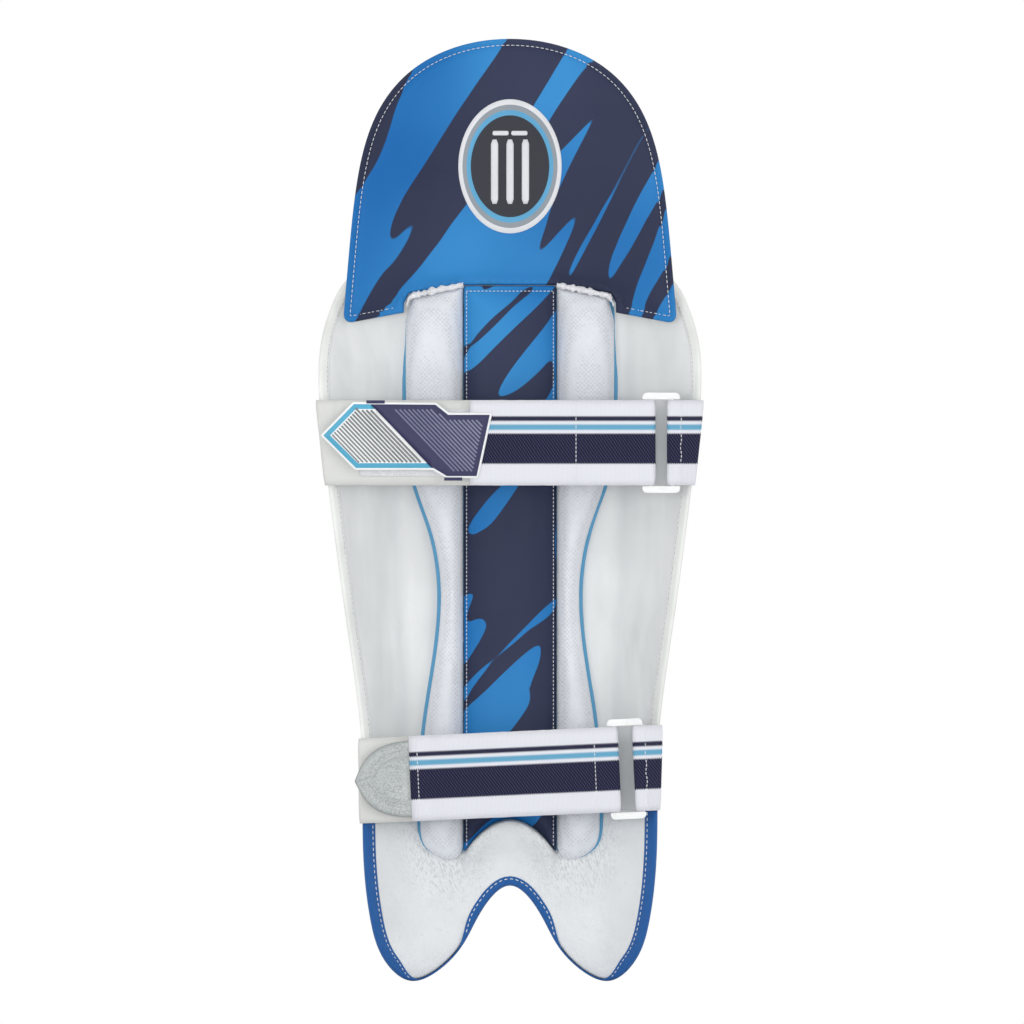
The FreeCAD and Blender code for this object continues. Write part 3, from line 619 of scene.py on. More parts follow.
def striped(name, strap):
    """White elastic webbing with a thin navy, a sky and a wide navy stripe along it."""
    f = Finish(name, 0.8, Sheen_Weight=0.04, Specular_IOR_Level=0.2)
    tilt = math.radians(strap["tilt"])
    flat = f.turned(angle=tilt)
    steps = f.wave(0.5 / 0.0026, "X", flat)
    wobble = f.times(f.math("SUBTRACT", steps, 0.5), 0.0011)
    centre = (strap["height"] - SEAT_HEIGHT) / 1000.0 * math.cos(tilt)
    low, wide = centre - STRAP_HALF / 1000.0, 2 * STRAP_HALF / 1000.0
    level = f.grey(f.math("ADD", f.part(flat, 2), wobble), low, low + wide)
    ribs, upright = f.wave(0.5 / 0.0011, "Z", flat), f.wave(0.5 / 0.0015, "X", flat)
    twill = f.wave(0.5 / 0.0030, "X", f.turned(angle=tilt + math.radians(35)))
    navy = f.mix(f.times(f.grey(twill, 0.55, 0.95), upright), (24, 25, 50), (78, 80, 114))
    sky = f.mix(f.times(steps, 0.5), (92, 160, 194), (126, 182, 208))
    base = f.mix(f.times(upright, 0.5), (230, 231, 237), (208, 210, 219))
    for a, b, paint in ((0.25, 0.606, navy), (0.648, 0.711, sky), (0.753, 0.808, navy)):
        band = f.times(f.grey(level, a, a + 0.006), f.grey(level, b + 0.006, b))
        base = f.mix(band, base, paint)
    f.color(base)
    f.bump(f.times(upright, ribs), 0.00022)
    f.bump(f.noise(2500.0), 0.0001)
    return f.material


def cloth(name, rgb, pitch=0.0007, roughness=0.6, dark=0.85, depth=0.00015, sheen=0.2):
    f = Finish(name, roughness, Sheen_Weight=sheen, Sheen_Roughness=0.5)
    warp, weft = f.threads(pitch, depth)
    f.tones(rgb, 1.0, (f.times(warp, weft, 0.6), dark), (f.grey(f.noise(25.0, 3.0), 0.4, 0.8), 0.94))
    f.bump(f.noise(1800.0), 0.0001)
    return f.material


def plastic(name, rgb, roughness=0.34):
    """Moulded plastic with a faint orange-peel surface and hairline scuffs."""
    f = Finish(name, roughness, Specular_IOR_Level=0.5, Coat_Weight=0.1)
    scuff = f.noise(420.0, 4.0, f.turned((1.0, 1.0, 0.1)))
    f.tones(rgb, 0.97, (f.grey(f.noise(70.0, 3.0), 0.3, 0.75), 1.02), (f.grey(scuff, 0.66, 0.8), 0.88))
    f.rough(scuff, roughness - 0.05, roughness + 0.2)
    f.bump(f.noise(600.0), 0.00004)
    return f.material


def thread(name, rgb):
    f = Finish(name, 0.7, Sheen_Weight=0.2)
    twist = f.wave(900.0, "DIAGONAL")
    f.tones(rgb, 0.9, (twist, 1.0))
    f.bump(twist, 0.0001)
    return f.material


def wood(name):
    f = Finish(name, 0.6)
    fibre = f.noise(300.0, 4.0, f.turned((1.0, 1.0, 0.03)))
    f.color(f.mix(fibre, (150, 112, 66), (206, 168, 112)))
    f.bump(fibre, 0.0002)
    return f.material


def fuzzy(name, rgb, scale=1500.0, depth=0.0008):
    f = Finish(name, 0.95, Sheen_Weight=0.4, Sheen_Roughness=0.5)
    loops = f.noise(scale, 3.0)
    f.tones(rgb, 0.88, (f.grey(loops, 0.3, 0.7), 1.03))
    f.bump(loops, depth, 0.8)
    return f.material


def silver(name):
    """Silver-grey coated leather with a coarse pebble emboss."""
    f = Finish(name, 0.4, Metallic=0.25, Specular_IOR_Level=0.5)
    pebbles = f.cells(850.0)
    base = f.mix(f.grey(f.noise(80.0, 3.0), 0.3, 0.7), (152, 157, 157), (166, 171, 169))
    f.color(f.mix(f.grey(pebbles, 0.3, 0.8), base, (140, 145, 145)))
    f.bump(pebbles, 0.00010, 0.7)
    f.rough(pebbles, 0.3, 0.5)
    return f.material


WHITE_PU = leather("pu_white", (226, 228, 229))
WING_PU = leather("pu_wing", (218, 220, 220), 1400.0, 0.5, 0.00005, 0.03, True)
RIM_PU = leather("pu_rim", (228, 230, 227), 900.0, 0.42)
STRAP_PU = leather("pu_strap", (206, 207, 204), 1300.0, 0.5, 0.00006, 0.03)
MESH = knit("mesh_knit", (218, 221, 227))
NAP = nap("brushed_nap", (224, 227, 228))
FLAP_PRINT = printed("flap_print", -32, 5.7, 26.0, 0.49)
CENTRE_PRINT = printed("centre_print", -44, 7.4, 34.0, 0.5, (-0.06, 0.1, 0.03))
STEEL_BLUE = cloth("steel_blue_cloth", (86, 160, 204), 0.0008, 0.85)
BINDING_BLUE = cloth("binding_blue", (12, 88, 158), 0.0007, 0.7, 0.88, 0.0001, 0.05)
THREAD_WHITE = thread("thread_white", (236, 237, 240))
THREAD_GREY = thread("thread_grey", (205, 207, 210))
KNEE_WEB = striped("knee_webbing", KNEE)
ANKLE_WEB = striped("ankle_webbing", ANKLE)
RING_WHITE = plastic("ring_white", (216, 218, 218))
TOUCH_LOOP = fuzzy("touch_loop", (226, 227, 230))
TERRY = fuzzy("terry_edge", (238, 239, 243), 900.0, 0.0014)
TAB_NAVY = leather("tab_navy", (42, 41, 80), 1200.0, 0.5)
TAB_TEAL = leather("tab_teal", (74, 160, 192), 1200.0, 0.4)
TAB_WHITE = leather("tab_white", (232, 234, 235), 1200.0, 0.4)
TAB_GREY = plastic("tab_grey", (96, 100, 104), 0.3)
TAB_DIM = plastic("tab_dim", (98, 101, 134), 0.4)
TAB_SILVER = silver("tab_silver")
PATCH_DARK = cloth("patch_charcoal", (44, 46, 56), 0.0007, 0.7)
PATCH_GREY = cloth("patch_grey", (150, 158, 166))
PATCH_SKY = cloth("patch_sky", (92, 170, 214))
PATCH_WHITE = cloth("patch_white", (232, 234, 238))
CANE = wood("cane_wood")


# ---------------------------------------------------------------- wings and instep
def wing_line(step):
    edge = curve(WING_EDGE, step)
    return edge, inward(edge, False)


def wing_outline(side, inner, tuck, step):
    """A wing between a line inside it and its edge, less tuck along that edge."""
    edge, vectors = wing_line(step)
    edge = edge + vectors * tuck
    top, low = (inner(edge[-1][1]), edge[-1][1]), (inner(SEAM), SEAM)
    return closed(loop(edge, chain([edge[-1], top, low, edge[0]], step)), side)


def build_wing(side, name):
    def lining_leg(x, z, d):
        soft = 1.3 * rumple(x, z * 0.7, 46, 1 + side) + 1.1 * crease(x, z * 0.45, 34, 3 + side)
        soft += 0.4 * rumple(x, z, 13, 5 + side) + 0.7 * crease(x * 0.8, z, 60, 6 + side)
        bend = 1.4 * groove(abs(x), half_board(z) + 4.0, 5.0)
        return trough(x, z, LINING + 0.35) - puff(d, 1.6, 7.0) + bend + soft * min(1.0, d / 12.0) * 0.75

    outline = wing_outline(side, lambda z: 46.0 if z < 340 else 60.0, 6.8, 3.0)
    lining = pad(name + "_wing_lining", outline, lining_leg, layer(0.2), WING_PU, 4.5, (1.0, 2.5, 5.0))
    settle(lining, "pad", [name + "_wing_lining"])

    def soft_front(x, z, d):
        return 0.5 * rumple(x, z, 40, 9 + side) * min(1.0, d / 15.0)

    face = pad(name + "_wing_pad", wing_outline(side, half_board, 1.6, 4.0), layer(0.0),
               face_front(3.0, (9.0, 14.0), soft_front), WHITE_PU, 6.0,
               (1.0, 2.5, 5.0, 8.0, 9.0, 10.0, 13.0, 14.0, 15.0))
    settle(face, "pad", [name + "_wing_face", name + "_wing_foam"])

    edge, vectors = wing_line(3.0)

    def spot(k, d, offset):
        x, z = edge[k] + vectors[k] * d
        return side * x, trough(x, z, offset), z

    rows = [
        [spot(k, d, offset + 0.15 * rumple(z, d, 9, 11 + side)) for d, offset in RIM_PROFILE]
        for k, (x, z) in enumerate(edge)]
    settle(solid(name + "_wing_rim", tube(rows), RIM_PU), "pad", [name + "_wing_rim"])
    stitches(name + "_wing_stitching", [spot(k, 6.6, 2.65) for k in range(len(edge))], "pad",
             2.6, 1.2, 0.28, THREAD_GREY)


def instep_line(step):
    side = [(110, 200), (110, SEAM)] + LOBE
    whole = curve(side + [(0.0, ARCH_TOP)] + mirrored(side[::-1]), step)
    edge = whole[whole[:, 1] <= SEAM + 0.01]
    return edge, -inward(edge, False)


def instep_outline(tuck, step):
    edge, vectors = instep_line(step)
    edge = edge + vectors * tuck
    edge[:, 1] = np.minimum(edge[:, 1], SEAM)
    return loop(edge, even([edge[-1], edge[0]], step))


def binding_width(x, z):
    """How far the binding folds in: wide outside, nothing on the lobes' inner feet, less in the arch."""
    outer = 9.6 * smooth(abs(x), 62.0, 92.0)
    arch = 7.0 * smooth(z, 14.0, 50.0) * (1.0 - smooth(abs(x), 50.0, 58.0))
    return max(1.2, outer + arch)


def build_instep():
    def lip_edge(x):
        return float(np.interp(x, *CENTRE_ARCH.T)) - 0.4

    def lip(x, z):
        """The lining climbs over the lower end of the centre bolster and ends there in a soft edge."""
        below = lip_edge(x) - z
        across = 1.0 - smooth(abs(x), 26.0, 37.0)
        rise = math.exp(-(max(0.0, below - 2.0) / 17.0) ** 2) * math.sqrt(min(1.0, max(0.0, below) / 2.0))
        return 16.5 * across * rise

    def lining_leg(x, z, d):
        soft = 0.9 * rumple(x, z, 36, 21) + 0.4 * rumple(x, z, 9, 22)
        swollen = puff(d, 2.6, 9.0) * (1.0 - 0.6 * smooth(z, 95.0, 125.0))
        return trough(x, z, LINING + 0.2 + lip(x, z)) - swollen + soft * min(1.0, d / 10.0)

    turn = [(x, lip_edge(x) - below) for below in (-0.15, 0.15, 0.6, 1.2, 2.2)
            for x in np.arange(-36.0, 36.1, 1.2)]
    lining = pad("instep_lining", instep_outline(2.0, 3.0), lining_leg, layer(0.2), NAP, 4.0,
                 (1.0, 2.5, 4.5, 7.0), creases=np.array(turn))
    settle(lining, "pad", ["instep_lining"])

    front = face_front(3.0, (10.0,), lambda x, z, d: 0.4 * rumple(x, z, 30, 23))
    face = pad("instep_pad", instep_outline(1.6, 4.0), layer(0.0), front, WHITE_PU, 5.5,
               (1.0, 2.5, 5.0, 9.0, 10.0, 11.0))
    settle(face, "pad", ["instep_face", "instep_foam"])

    rows, runs, line = [], [], []
    for (x, z), (dx, dz) in zip(*instep_line(2.5)):
        wide = binding_width(x, z)
        ring = []
        for d, offset in RIM_PROFILE:
            reach = d * wide / RIM_WIDTH if offset > 0 else d
            px, pz = x + dx * reach, min(SEAM, z + dz * reach)
            lift = 0.2 * rumple(x + z, d, 11, 25) + (0.9 if offset > 1.4 else 0.0)
            ring.append((px, trough(px, pz, offset + lift), pz))
        rows.append(ring)
        if wide > 3.0:
            px, pz = x + dx * (wide - 1.9), z + dz * (wide - 1.9)
            line.append((px, trough(px, pz, 3.5), pz))
        elif line:
            runs.append(line)
            line = []
    runs.append(line)
    settle(solid("instep_binding", tube(rows), BINDING_BLUE), "pad", ["instep_binding"])
    for number, run in enumerate(run for run in runs if len(run) > 4):
        stitches("binding_stitching_%d" % number, run, "pad", 2.6, 1.6, 0.36)


# ---------------------------------------------------------------- shin board, channels and rolls
def build_board():
    low, high = half_board(SEAM), half_board(BOARD_TOP)
    corners = [(-47, SEAM), (47, SEAM), (61, BOARD_TOP - 2), (-61, BOARD_TOP - 2)]
    lining = pad("shin_lining", polygon(corners, 6.0), layer(LINING), layer(0.2), WING_PU, 10.0, (2.0,))
    settle(lining, "pad", ["shin_lining"])
    corners = [(-low, SEAM), (low, SEAM), (high, BOARD_TOP), (-high, BOARD_TOP)]
    board = pad("shin_board", polygon(corners, 6.0), layer(0.0), face_front(2.0), WHITE_PU, 10.0, (1.0, 2.5))
    settle(board, "pad", ["shin_face", "shin_foam"])


def channel(share, low, high):
    """One padded channel: rings of an oval that tapers into both ends."""
    rows = []
    for z in np.linspace(low, high, 45):
        depth = 5.0 + 10.0 * min(1.0, min(z - low, high - z) / 14.0) ** 0.6
        depth *= 1.0 + 0.03 * rumple(z, share * 60, 22, 33)
        ring = []
        for turn, (aside, out) in enumerate(circle(20)):
            tuck = 0.5 * rumple(z, share * 40 + turn, 8, 31) * (1.0 - abs(out))
            x = share * half_board(z) + (half_board(z) / 7 - 0.8 + tuck * 0.4) * aside
            ring.append((x, trough(x, z, -FACE - CLEAR) + max(0.0, out) ** 0.8 * depth, z))
        rows.append(ring)
    return tube(rows)


def build_front():
    parts = [channel((2 * n + 1) / 7.0 - 1.0, 133.0, 394.4) for n in range(7)]
    settle(solid("shin_channels", joined(parts), WHITE_PU), "pad", ["shin_ribs"])
    for number, name in enumerate(("lower", "middle", "upper")):
        middle = 396.0 + 41.0 * (number + 0.5)
        half = half_board(middle) - 1.5
        rows = []
        for x in np.linspace(-half, half, 61):
            end = math.sqrt(max(0.0, 1.0 - max(0.0, (abs(x) - (half - 15.0)) / 15.0) ** 2))
            end = max(0.12, end)
            ring = []
            for turn, (up, out) in enumerate(circle(28)):
                z = middle + 19.7 * (0.55 + 0.45 * end) * math.copysign(abs(up) ** 0.85, up)
                pucker = 0.6 * rumple(x, turn * 2.0, 7, 41 + number) * (1.0 - abs(out)) ** 0.5
                rise = max(0.0, out) ** 0.8 * 27.0 * (0.35 + 0.65 * end) + pucker * (out > 0)
                rise += 0.5 * rumple(x, z, 26, 44 + number) * (out > 0.3)
                ring.append((x, trough(x, middle + (z - middle) * 0.98, -FACE - CLEAR) + rise, z))
            rows.append(ring)
        covered = ["knee_roll_" + name] + (["knee_roll_cores"] if name == "lower" else [])
        settle(solid("knee_roll_" + name, tube(rows), WHITE_PU), "pad", covered)


# ---------------------------------------------------------------- cushion
def side_bolster_outline(side, step):
    top = [(77.5, 492), (73, 510), (SIDE_INNER, BOLSTER_TOP)]
    foot = curve([(SIDE_INNER, 100.0), (38.3, 93.2), (44.5, 90.4), (51.5, 91.3)], step)
    inner = even([top[-1], (SIDE_INNER, 99)], step)
    return closed(loop(curve(BOLSTER_EDGE, step), even(top, step), inner, foot), side)


def bolster_rise(d, full, wall):
    return wall + (full - wall) * (1.0 - (1.0 - min(1.0, d / 17.0)) ** 2.4)


def bolster(name, outline, leg, material, rings, firm, cap):
    """A stuffed roll on the backing. Its lowest firm millimetres stay, the rest swells up to cap."""
    body = pad(name + "_bolster", outline, leg, layer(BOLSTER_BACK + 0.1), material, 5.0, rings)
    inflate(body, BOLSTER_BACK + firm, cap)
    mod = body.modifiers.new("round", "SUBSURF")
    mod.levels = mod.render_levels = 1
    settle(body, "pad", [name + "_bolster_cover", name + "_bolster_foam"])


def build_side_bolster(side, name):
    def leg(x, z, d):
        full = 21.0 * (0.72 + 0.28 * smooth(z, 88, 125)) * (0.8 + 0.2 * smooth(BOARD_TOP - z, 0, 26))
        pucker = 0.8 * rumple(x, z, 7, 51 + side) * math.exp(-d / 6.0)
        soft = 0.8 * rumple(x, z, 30, 53 + side)
        return trough(x, z, BOLSTER_BACK + bolster_rise(d, full, 7.0)) + rounded(d, 1.2) + pucker + soft

    bolster(name, side_bolster_outline(side, 3.0), leg, MESH, (0.8, 2.2, 4.2, 6.8), 1.5, 2.4)
    rows = []
    line = even([(77.3, 503), (75.4, 508.5), (72.6, 510.6), (54, 514.8), (SIDE_INNER, 518.4)], 1.3)
    for number, (x, z) in enumerate(line):
        depth = trough(x, z, BOLSTER_BACK + 11.5)
        radius = 2.1 + 1.3 * rumple(x * 2, z * 2, 5, 57 + side) + 0.25 * math.sin(number * 1.9)
        radius *= min(1.0, 0.4 + 0.1 * number)
        ring = []
        for turn, (out, up) in enumerate(circle(10)):
            lump = radius * (1.0 + 0.5 * rumple(number * 2.3, turn * 5.0, 4, 59 + side))
            ring.append((side * (x + 0.3 * up), depth - 1.5 * lump * out, z + lump * up))
        rows.append(ring)
    settle(solid(name + "_bolster_terry", tube(rows), TERRY), "pad")


def build_centre_bolster():
    def leg(x, z, d):
        pulled = 1.6 * groove(d, 3.2, 1.3)
        pucker = 0.7 * rumple(x * 0.5, z, 6, 61) * math.exp(-d / 6.0)
        soft = 0.6 * rumple(x, z, 34, 62)
        return trough(x, z, BOLSTER_BACK + bolster_rise(d, 18.0, 8.0)) + pulled + pucker + soft

    top = [(CENTRE_HALF, BOLSTER_TOP), (-CENTRE_HALF, BOLSTER_TOP)]
    outline = loop(even(CENTRE_ARCH, 3.0), chain([CENTRE_ARCH[-1]] + top + [CENTRE_ARCH[0]], 3.0))
    bolster("centre", outline, leg, CENTRE_PRINT, (0.8, 2.0, 3.2, 4.5, 6.8), 9.0, 1.8)
    aside, across, high = CENTRE_HALF - 2.0, CENTRE_HALF - 1.0, BOLSTER_TOP - 4.0
    for label, ends in {
            "left": [(-aside, 100.0), (-aside, BOLSTER_TOP - 2.0)],
            "right": [(aside, 100.0), (aside, BOLSTER_TOP - 2.0)],
            "top": [(-across, high), (across, high)]}.items():
        line = [(x, leg(x, z, min(CENTRE_HALF - abs(x), BOLSTER_TOP - z)) - 0.5, z)
                for x, z in even(ends, 3.0)]
        stitches("centre_stitching_" + label, line, "pad", 1.9, 1.0, 0.32)


def build_backing():
    right = [(x + 2.7 - 2.0 * smooth(z, 440, 490), z) for x, z in curve(BOLSTER_EDGE, 4.0)]
    left = [(1.1 * (1.0 - smooth(z, 100, 130)) - x, z) for x, z in right[::-1]]
    top = [right[-1], (77.4, 508.5), (62.0, 514.8), (38, 517), (-38, 517), (-72.5, 510), left[0]]
    low = [left[-1], (-44, 89), (-30, 100), (0, 119), (30, 100), (44, 89), right[0]]
    outline = loop(np.array(right), chain(top, 4.0), np.array(left), even(low, 4.0))
    sheet = pad("cushion_backing", outline, lambda x, z, d: trough(x, z, BACKING + 3.0 * min(1.0, d / 2.0)),
                layer(LINING + 0.1), STEEL_BLUE, 9.0, (1.0, 2.2))
    settle(sheet, "pad", ["cushion_backing"])


# ---------------------------------------------------------------- flap
def dome_spot(level):
    half = (124.5 - 18.0 * level) * math.sqrt(1.0 - level ** 5.2)
    return half, FLAP_LOW + (FLAP_TOP - FLAP_LOW) * level


def flap_outline(step, low_middle):
    """The flap's outline; low_middle is the right half of its lower edge, inside the notch."""
    dome = [dome_spot(level) for level in DOME_LEVELS]
    arc = curve(mirrored(dome) + [(0.0, FLAP_TOP)] + dome[::-1], step)
    corner = curve([dome[0], (123.4, 494.0), (121.0, 491.3), (117.5, 490.8)], 1.5)
    side = [(117.5, 490.8), (NOTCH, 498.0)] + low_middle
    return loop(arc, corner, chain(side + mirrored(side)[::-1], step), corner[::-1] * (-1, 1))


def build_flap():
    def lining_leg(x, z, d):
        seam = 1.3 * groove(d, 4.8, 1.1) - puff(max(0.0, d - 4.0), 3.4, 12.0)
        soft = 1.2 * rumple(x, z, 42, 71) + 0.5 * rumple(x, z, 15, 72)
        pucker = 0.5 * rumple(x, z, 6, 73) * math.exp(-abs(d - 5.0) / 5.0)
        return flap_leg(x) + rounded(d, 1.4) + seam + (soft + pucker) * min(1.0, d / 8.0)

    def middle(x, z, d):
        return flap_leg(x) + FLAP_SKIN

    def front(x, z, d):
        rise = (flap_front(x, z) - middle(x, z, d)) * (0.35 + 0.65 * min(1.0, d / 14.0) ** 0.6)
        soft = 0.4 * rumple(x, z, 30, 75) * min(1.0, d / 10.0)
        return middle(x, z, d) + rise - groove(d, 5.0, 1.1) + soft

    outline = flap_outline(3.0, [(78.9, 505.0), (75.2, 512.4), (60.0, 515.0), (36.0, 518.5)])
    lining = pad("flap_lining", outline, lining_leg, middle, FLAP_PRINT, 4.5,
                 (0.5, 1.4, 3.0, 4.2, 5.4, 7.0, 9.5))
    settle(lining, "top_flap", ["flap_lining"])
    shell = pad("flap_pad", flap_outline(4.0, [(NOTCH, 519.3)]), middle, front, WHITE_PU, 6.0,
                (1.0, 2.5, 4.0, 5.0, 6.0, 9.0))
    settle(shell, "top_flap", ["flap_face", "flap_foam"])

    seam = outline + inward(outline) * 4.8
    seam = seam[(seam[:, 1] >= 527.0) | (np.abs(seam[:, 0]) >= 84)]
    gaps = np.linalg.norm(seam - np.roll(seam, 1, 0), axis=1)
    line = [(x, lining_leg(x, z, 4.8) - 0.95, z) for x, z in np.roll(seam, -int(gaps.argmax()), 0)]
    stitches("flap_stitching", line, "top_flap", 2.6, 1.1, 0.3)
    build_emblem(lambda x, z, lift: (x, lining_leg(x, z, 60.0) - lift, z))


def build_emblem(spot):
    """A plain oval patch with three stumps and two bails, on the surface that spot gives."""
    middle, around = 607.0, 72
    levels = [(1.0, 0.2), (0.985, 0.8), (0.93, 0.95), (0.92, 0.95), (0.85, 0.95), (0.84, 0.95),
              (0.77, 0.95), (0.76, 0.75), (0.5, 0.75), (0.25, 0.75)]
    verts, faces = tube([
        [spot(38.5 * share * out, middle + 50.0 * share * up, lift) for out, up in circle(around)]
        for share, lift in levels])
    del faces[-2]  # the back stays open
    zones = [zone for zone in (1, 1, 1, 2, 2, 3, 3, 0, 0) for _ in range(around)] + [0]
    patch = solid("flap_patch", (verts, faces), PATCH_DARK, PATCH_WHITE, PATCH_GREY, PATCH_SKY,
                  indices=zones)
    settle(patch, "top_flap")
    bails = middle + 24.7
    bars = [(x, middle - 28.0, x, middle + 20.0, 2.7, (1, 0)) for x in (-11.5, 0.0, 11.5)]
    bars += [(x, bails, x + 12.0, bails, 1.7, (0, 1)) for x in (-13.0, 1.0)]
    parts, steps = [], 14
    for x0, z0, x1, z1, half, (u, v) in bars:
        rows = []
        for step in range(steps + 1):
            x, z = x0 + (x1 - x0) * step / steps, z0 + (z1 - z0) * step / steps
            wide = half * (0.55 if step in (0, steps) else 1.0)
            base = spot(x, z, 0.0)[1]
            rows.append([
                (x + u * wide * share, base - lift, z + v * wide * share)
                for share, lift in ((-1, 0.3), (-1, 1.2), (-0.5, 1.6), (0.5, 1.6), (1, 1.2), (1, 0.3))])
        parts.append(tube(rows))
    settle(solid("flap_patch_wicket", joined(parts), PATCH_WHITE), "top_flap")


# ---------------------------------------------------------------- straps
def strap_spot(strap, along, depth, across):
    tilt = math.radians(strap["tilt"])
    x = along * math.cos(tilt) - across * math.sin(tilt)
    return x, depth, strap["height"] + along * math.sin(tilt) + across * math.cos(tilt)


def wrap_line(strap, side, across, out):
    """One line of a strap from the wing's front to its edge, at out from the rim."""
    def edge_at(z):
        return side * float(np.interp(z, WING_SIDE[:, 1], WING_SIDE[:, 0]))

    tilt = math.radians(strap["tilt"])
    along = edge_at(strap["height"])
    for _ in range(4):
        z = strap_spot(strap, along, 0, across)[2]
        along = (edge_at(z) + across * math.sin(tilt)) / math.cos(tilt)
    edge, lift = abs(along), -RIM - out - 0.7
    start, middle = edge - 26.0, edge - 13.0
    return [(start, trough(start, z, lift)), (middle, trough(middle, z, lift)),
            (edge + out, trough(edge, z, -RIM) + out), (edge + out, trough(edge, z, 2.6) - out)]


def wrap_points(strap, side, across, half_thick):
    """The strap's path round the edge, straight across its width but for a bulge that clears it."""
    out = 0.5 + half_thick
    lines = [wrap_line(strap, side, at, out) for at in (-STRAP_HALF, 0.0, STRAP_HALF)]
    share = (across + STRAP_HALF) / (2 * STRAP_HALF)
    points = []
    for (x0, y0), (x1, y1), (x2, y2) in zip(*lines):
        bulge, depth = max(0.0, x1 - (x0 + x2) / 2), y1 - (y0 + y2) / 2
        depth = max(0.0, depth) if len(points) < 3 else min(0.0, depth)
        points.append((side * (x0 + (x2 - x0) * share + bulge), y0 + (y2 - y0) * share + depth))
    return points


def chord(strap, along, across):
    """Depth of the under layer's centre line between the left wing's edge and the ring."""
    start = wrap_points(strap, -1, across, UNDER / 2)[-1]
    end = strap["bars"][0] + PITCH / 2
    return start[1] + (strap["level"] + PITCH / 2 - start[1]) * (along - start[0]) / (end - start[0])


def bent(points, radii, counts):
    """Points on a chain of lines with rounded corners; counts says how many each line has."""
    p = [np.array(q, float) for q in points]
    out = [p[0]]

    def straight(end, count):
        start = out[-1]
        out.extend([start + (end - start) * k / count for k in range(1, count + 1)])

    for before, here, after, radius, count in zip(p, p[1:], p[2:], radii, counts):
        back = (before - here) / np.linalg.norm(before - here)
        ahead = (after - here) / np.linalg.norm(after - here)
        half = math.acos(max(-1.0, min(1.0, float(back @ ahead)))) / 2
        reach = radius / math.tan(half)
        centre = here + (back + ahead) / np.linalg.norm(back + ahead) * radius / math.sin(half)
        straight(here + back * reach, count)
        first, last = here + back * reach - centre, here + ahead * reach - centre
        angle = math.atan2(first[1], first[0])
        turn = (math.atan2(last[1], last[0]) - angle + math.pi) % math.tau - math.pi
        for k in range(1, 8):
            at = angle + turn * k / 7
            out.append(centre + radius * np.array([math.cos(at), math.sin(at)]))
    straight(p[-1], counts[-1])
    return out


def ribbon(name, strap, path, radii, thick, material, seed):
    """A flat strip along a path that differs a little between its two edges."""
    edges = path(-STRAP_HALF), path(STRAP_HALF)
    counts = [max(1, int(math.dist(a, b) / 5.0)) for a, b in zip(edges[0], edges[0][1:])]
    low, high = (bent(points, radii, counts) for points in edges)
    rows, columns, last = [], 12, len(low) - 1
    for k in range(last + 1):
        near, far = [], []
        for c in range(columns + 1):
            u = c / columns
            a, here, b = (low[i] * (1 - u) + high[i] * u for i in (max(0, k - 1), k, min(last, k + 1)))
            way = (b - a) / max(1e-9, np.linalg.norm(b - a))
            across = STRAP_HALF * (2 * u - 1)
            wave, selvedge, half = 0.18 * rumple(here[0], across, 16, 81 + seed), 0.0, thick / 2
            if c in (0, columns):
                selvedge, half = 0.25 * rumple(here[0], across, 5, 83 + seed), half * 0.45
            for ring, lift in ((near, half), (far, -half)):
                q = here + np.array([-way[1], way[0]]) * (lift + wave)
                ring.append(strap_spot(strap, q[0], q[1], across + selvedge))
        rows.append(near + far[::-1])
    return solid(name, tube(rows), material)


def on_strap(strap):
    """Puts a point given along and across the strap, at an offset from its under layer."""
    return lambda along, offset, across: strap_spot(
        strap, along, chord(strap, along, across) - offset, across)


def strap_plate(name, strap, outline, near, far, material, rings=(0.4, 1.0), round_edge=0.6):
    return pad(name, closed(outline), lambda x, z, d: far - rounded(d, round_edge),
               lambda x, z, d: near, material, 4.0, rings, on_strap(strap))


def cross_seam(name, spot, body):
    line = [spot(across) for across in np.linspace(-SEAM_HALF, SEAM_HALF, 20)]
    stitches(name, line, body, 2.2, 0.9, 0.34)


def front_seam(strap, side):
    """A box of stitches where the strap's end is sewn to the wing's front."""
    name = strap["name"] + ("_left" if side < 0 else "_right") + "_patch_stitching"
    half = (UNDER if side < 0 else WEB) / 2
    box = np.array([(3, -27), (3, 27), (20, 27), (20, -27), (3, -27)], float)
    spots = [a + (b - a) * t for a, b in zip(box, box[1:]) for t in np.linspace(0, 1, 14)[:-1]]
    line = []
    for inset, across in spots + [box[0]]:
        start, middle, corner = np.array(wrap_points(strap, side, across, half)[:3])
        share = inset / 13.0
        p = start + (middle - start) * min(1, share) + (corner - middle) * max(0, share - 1)
        line.append(strap_spot(strap, p[0], p[1] + half + 0.25, across))
    stitches(name, line, "pad", 2.4, 1.0, 0.34, normal=(0.4 * side, 1, 0), lift=0.2)


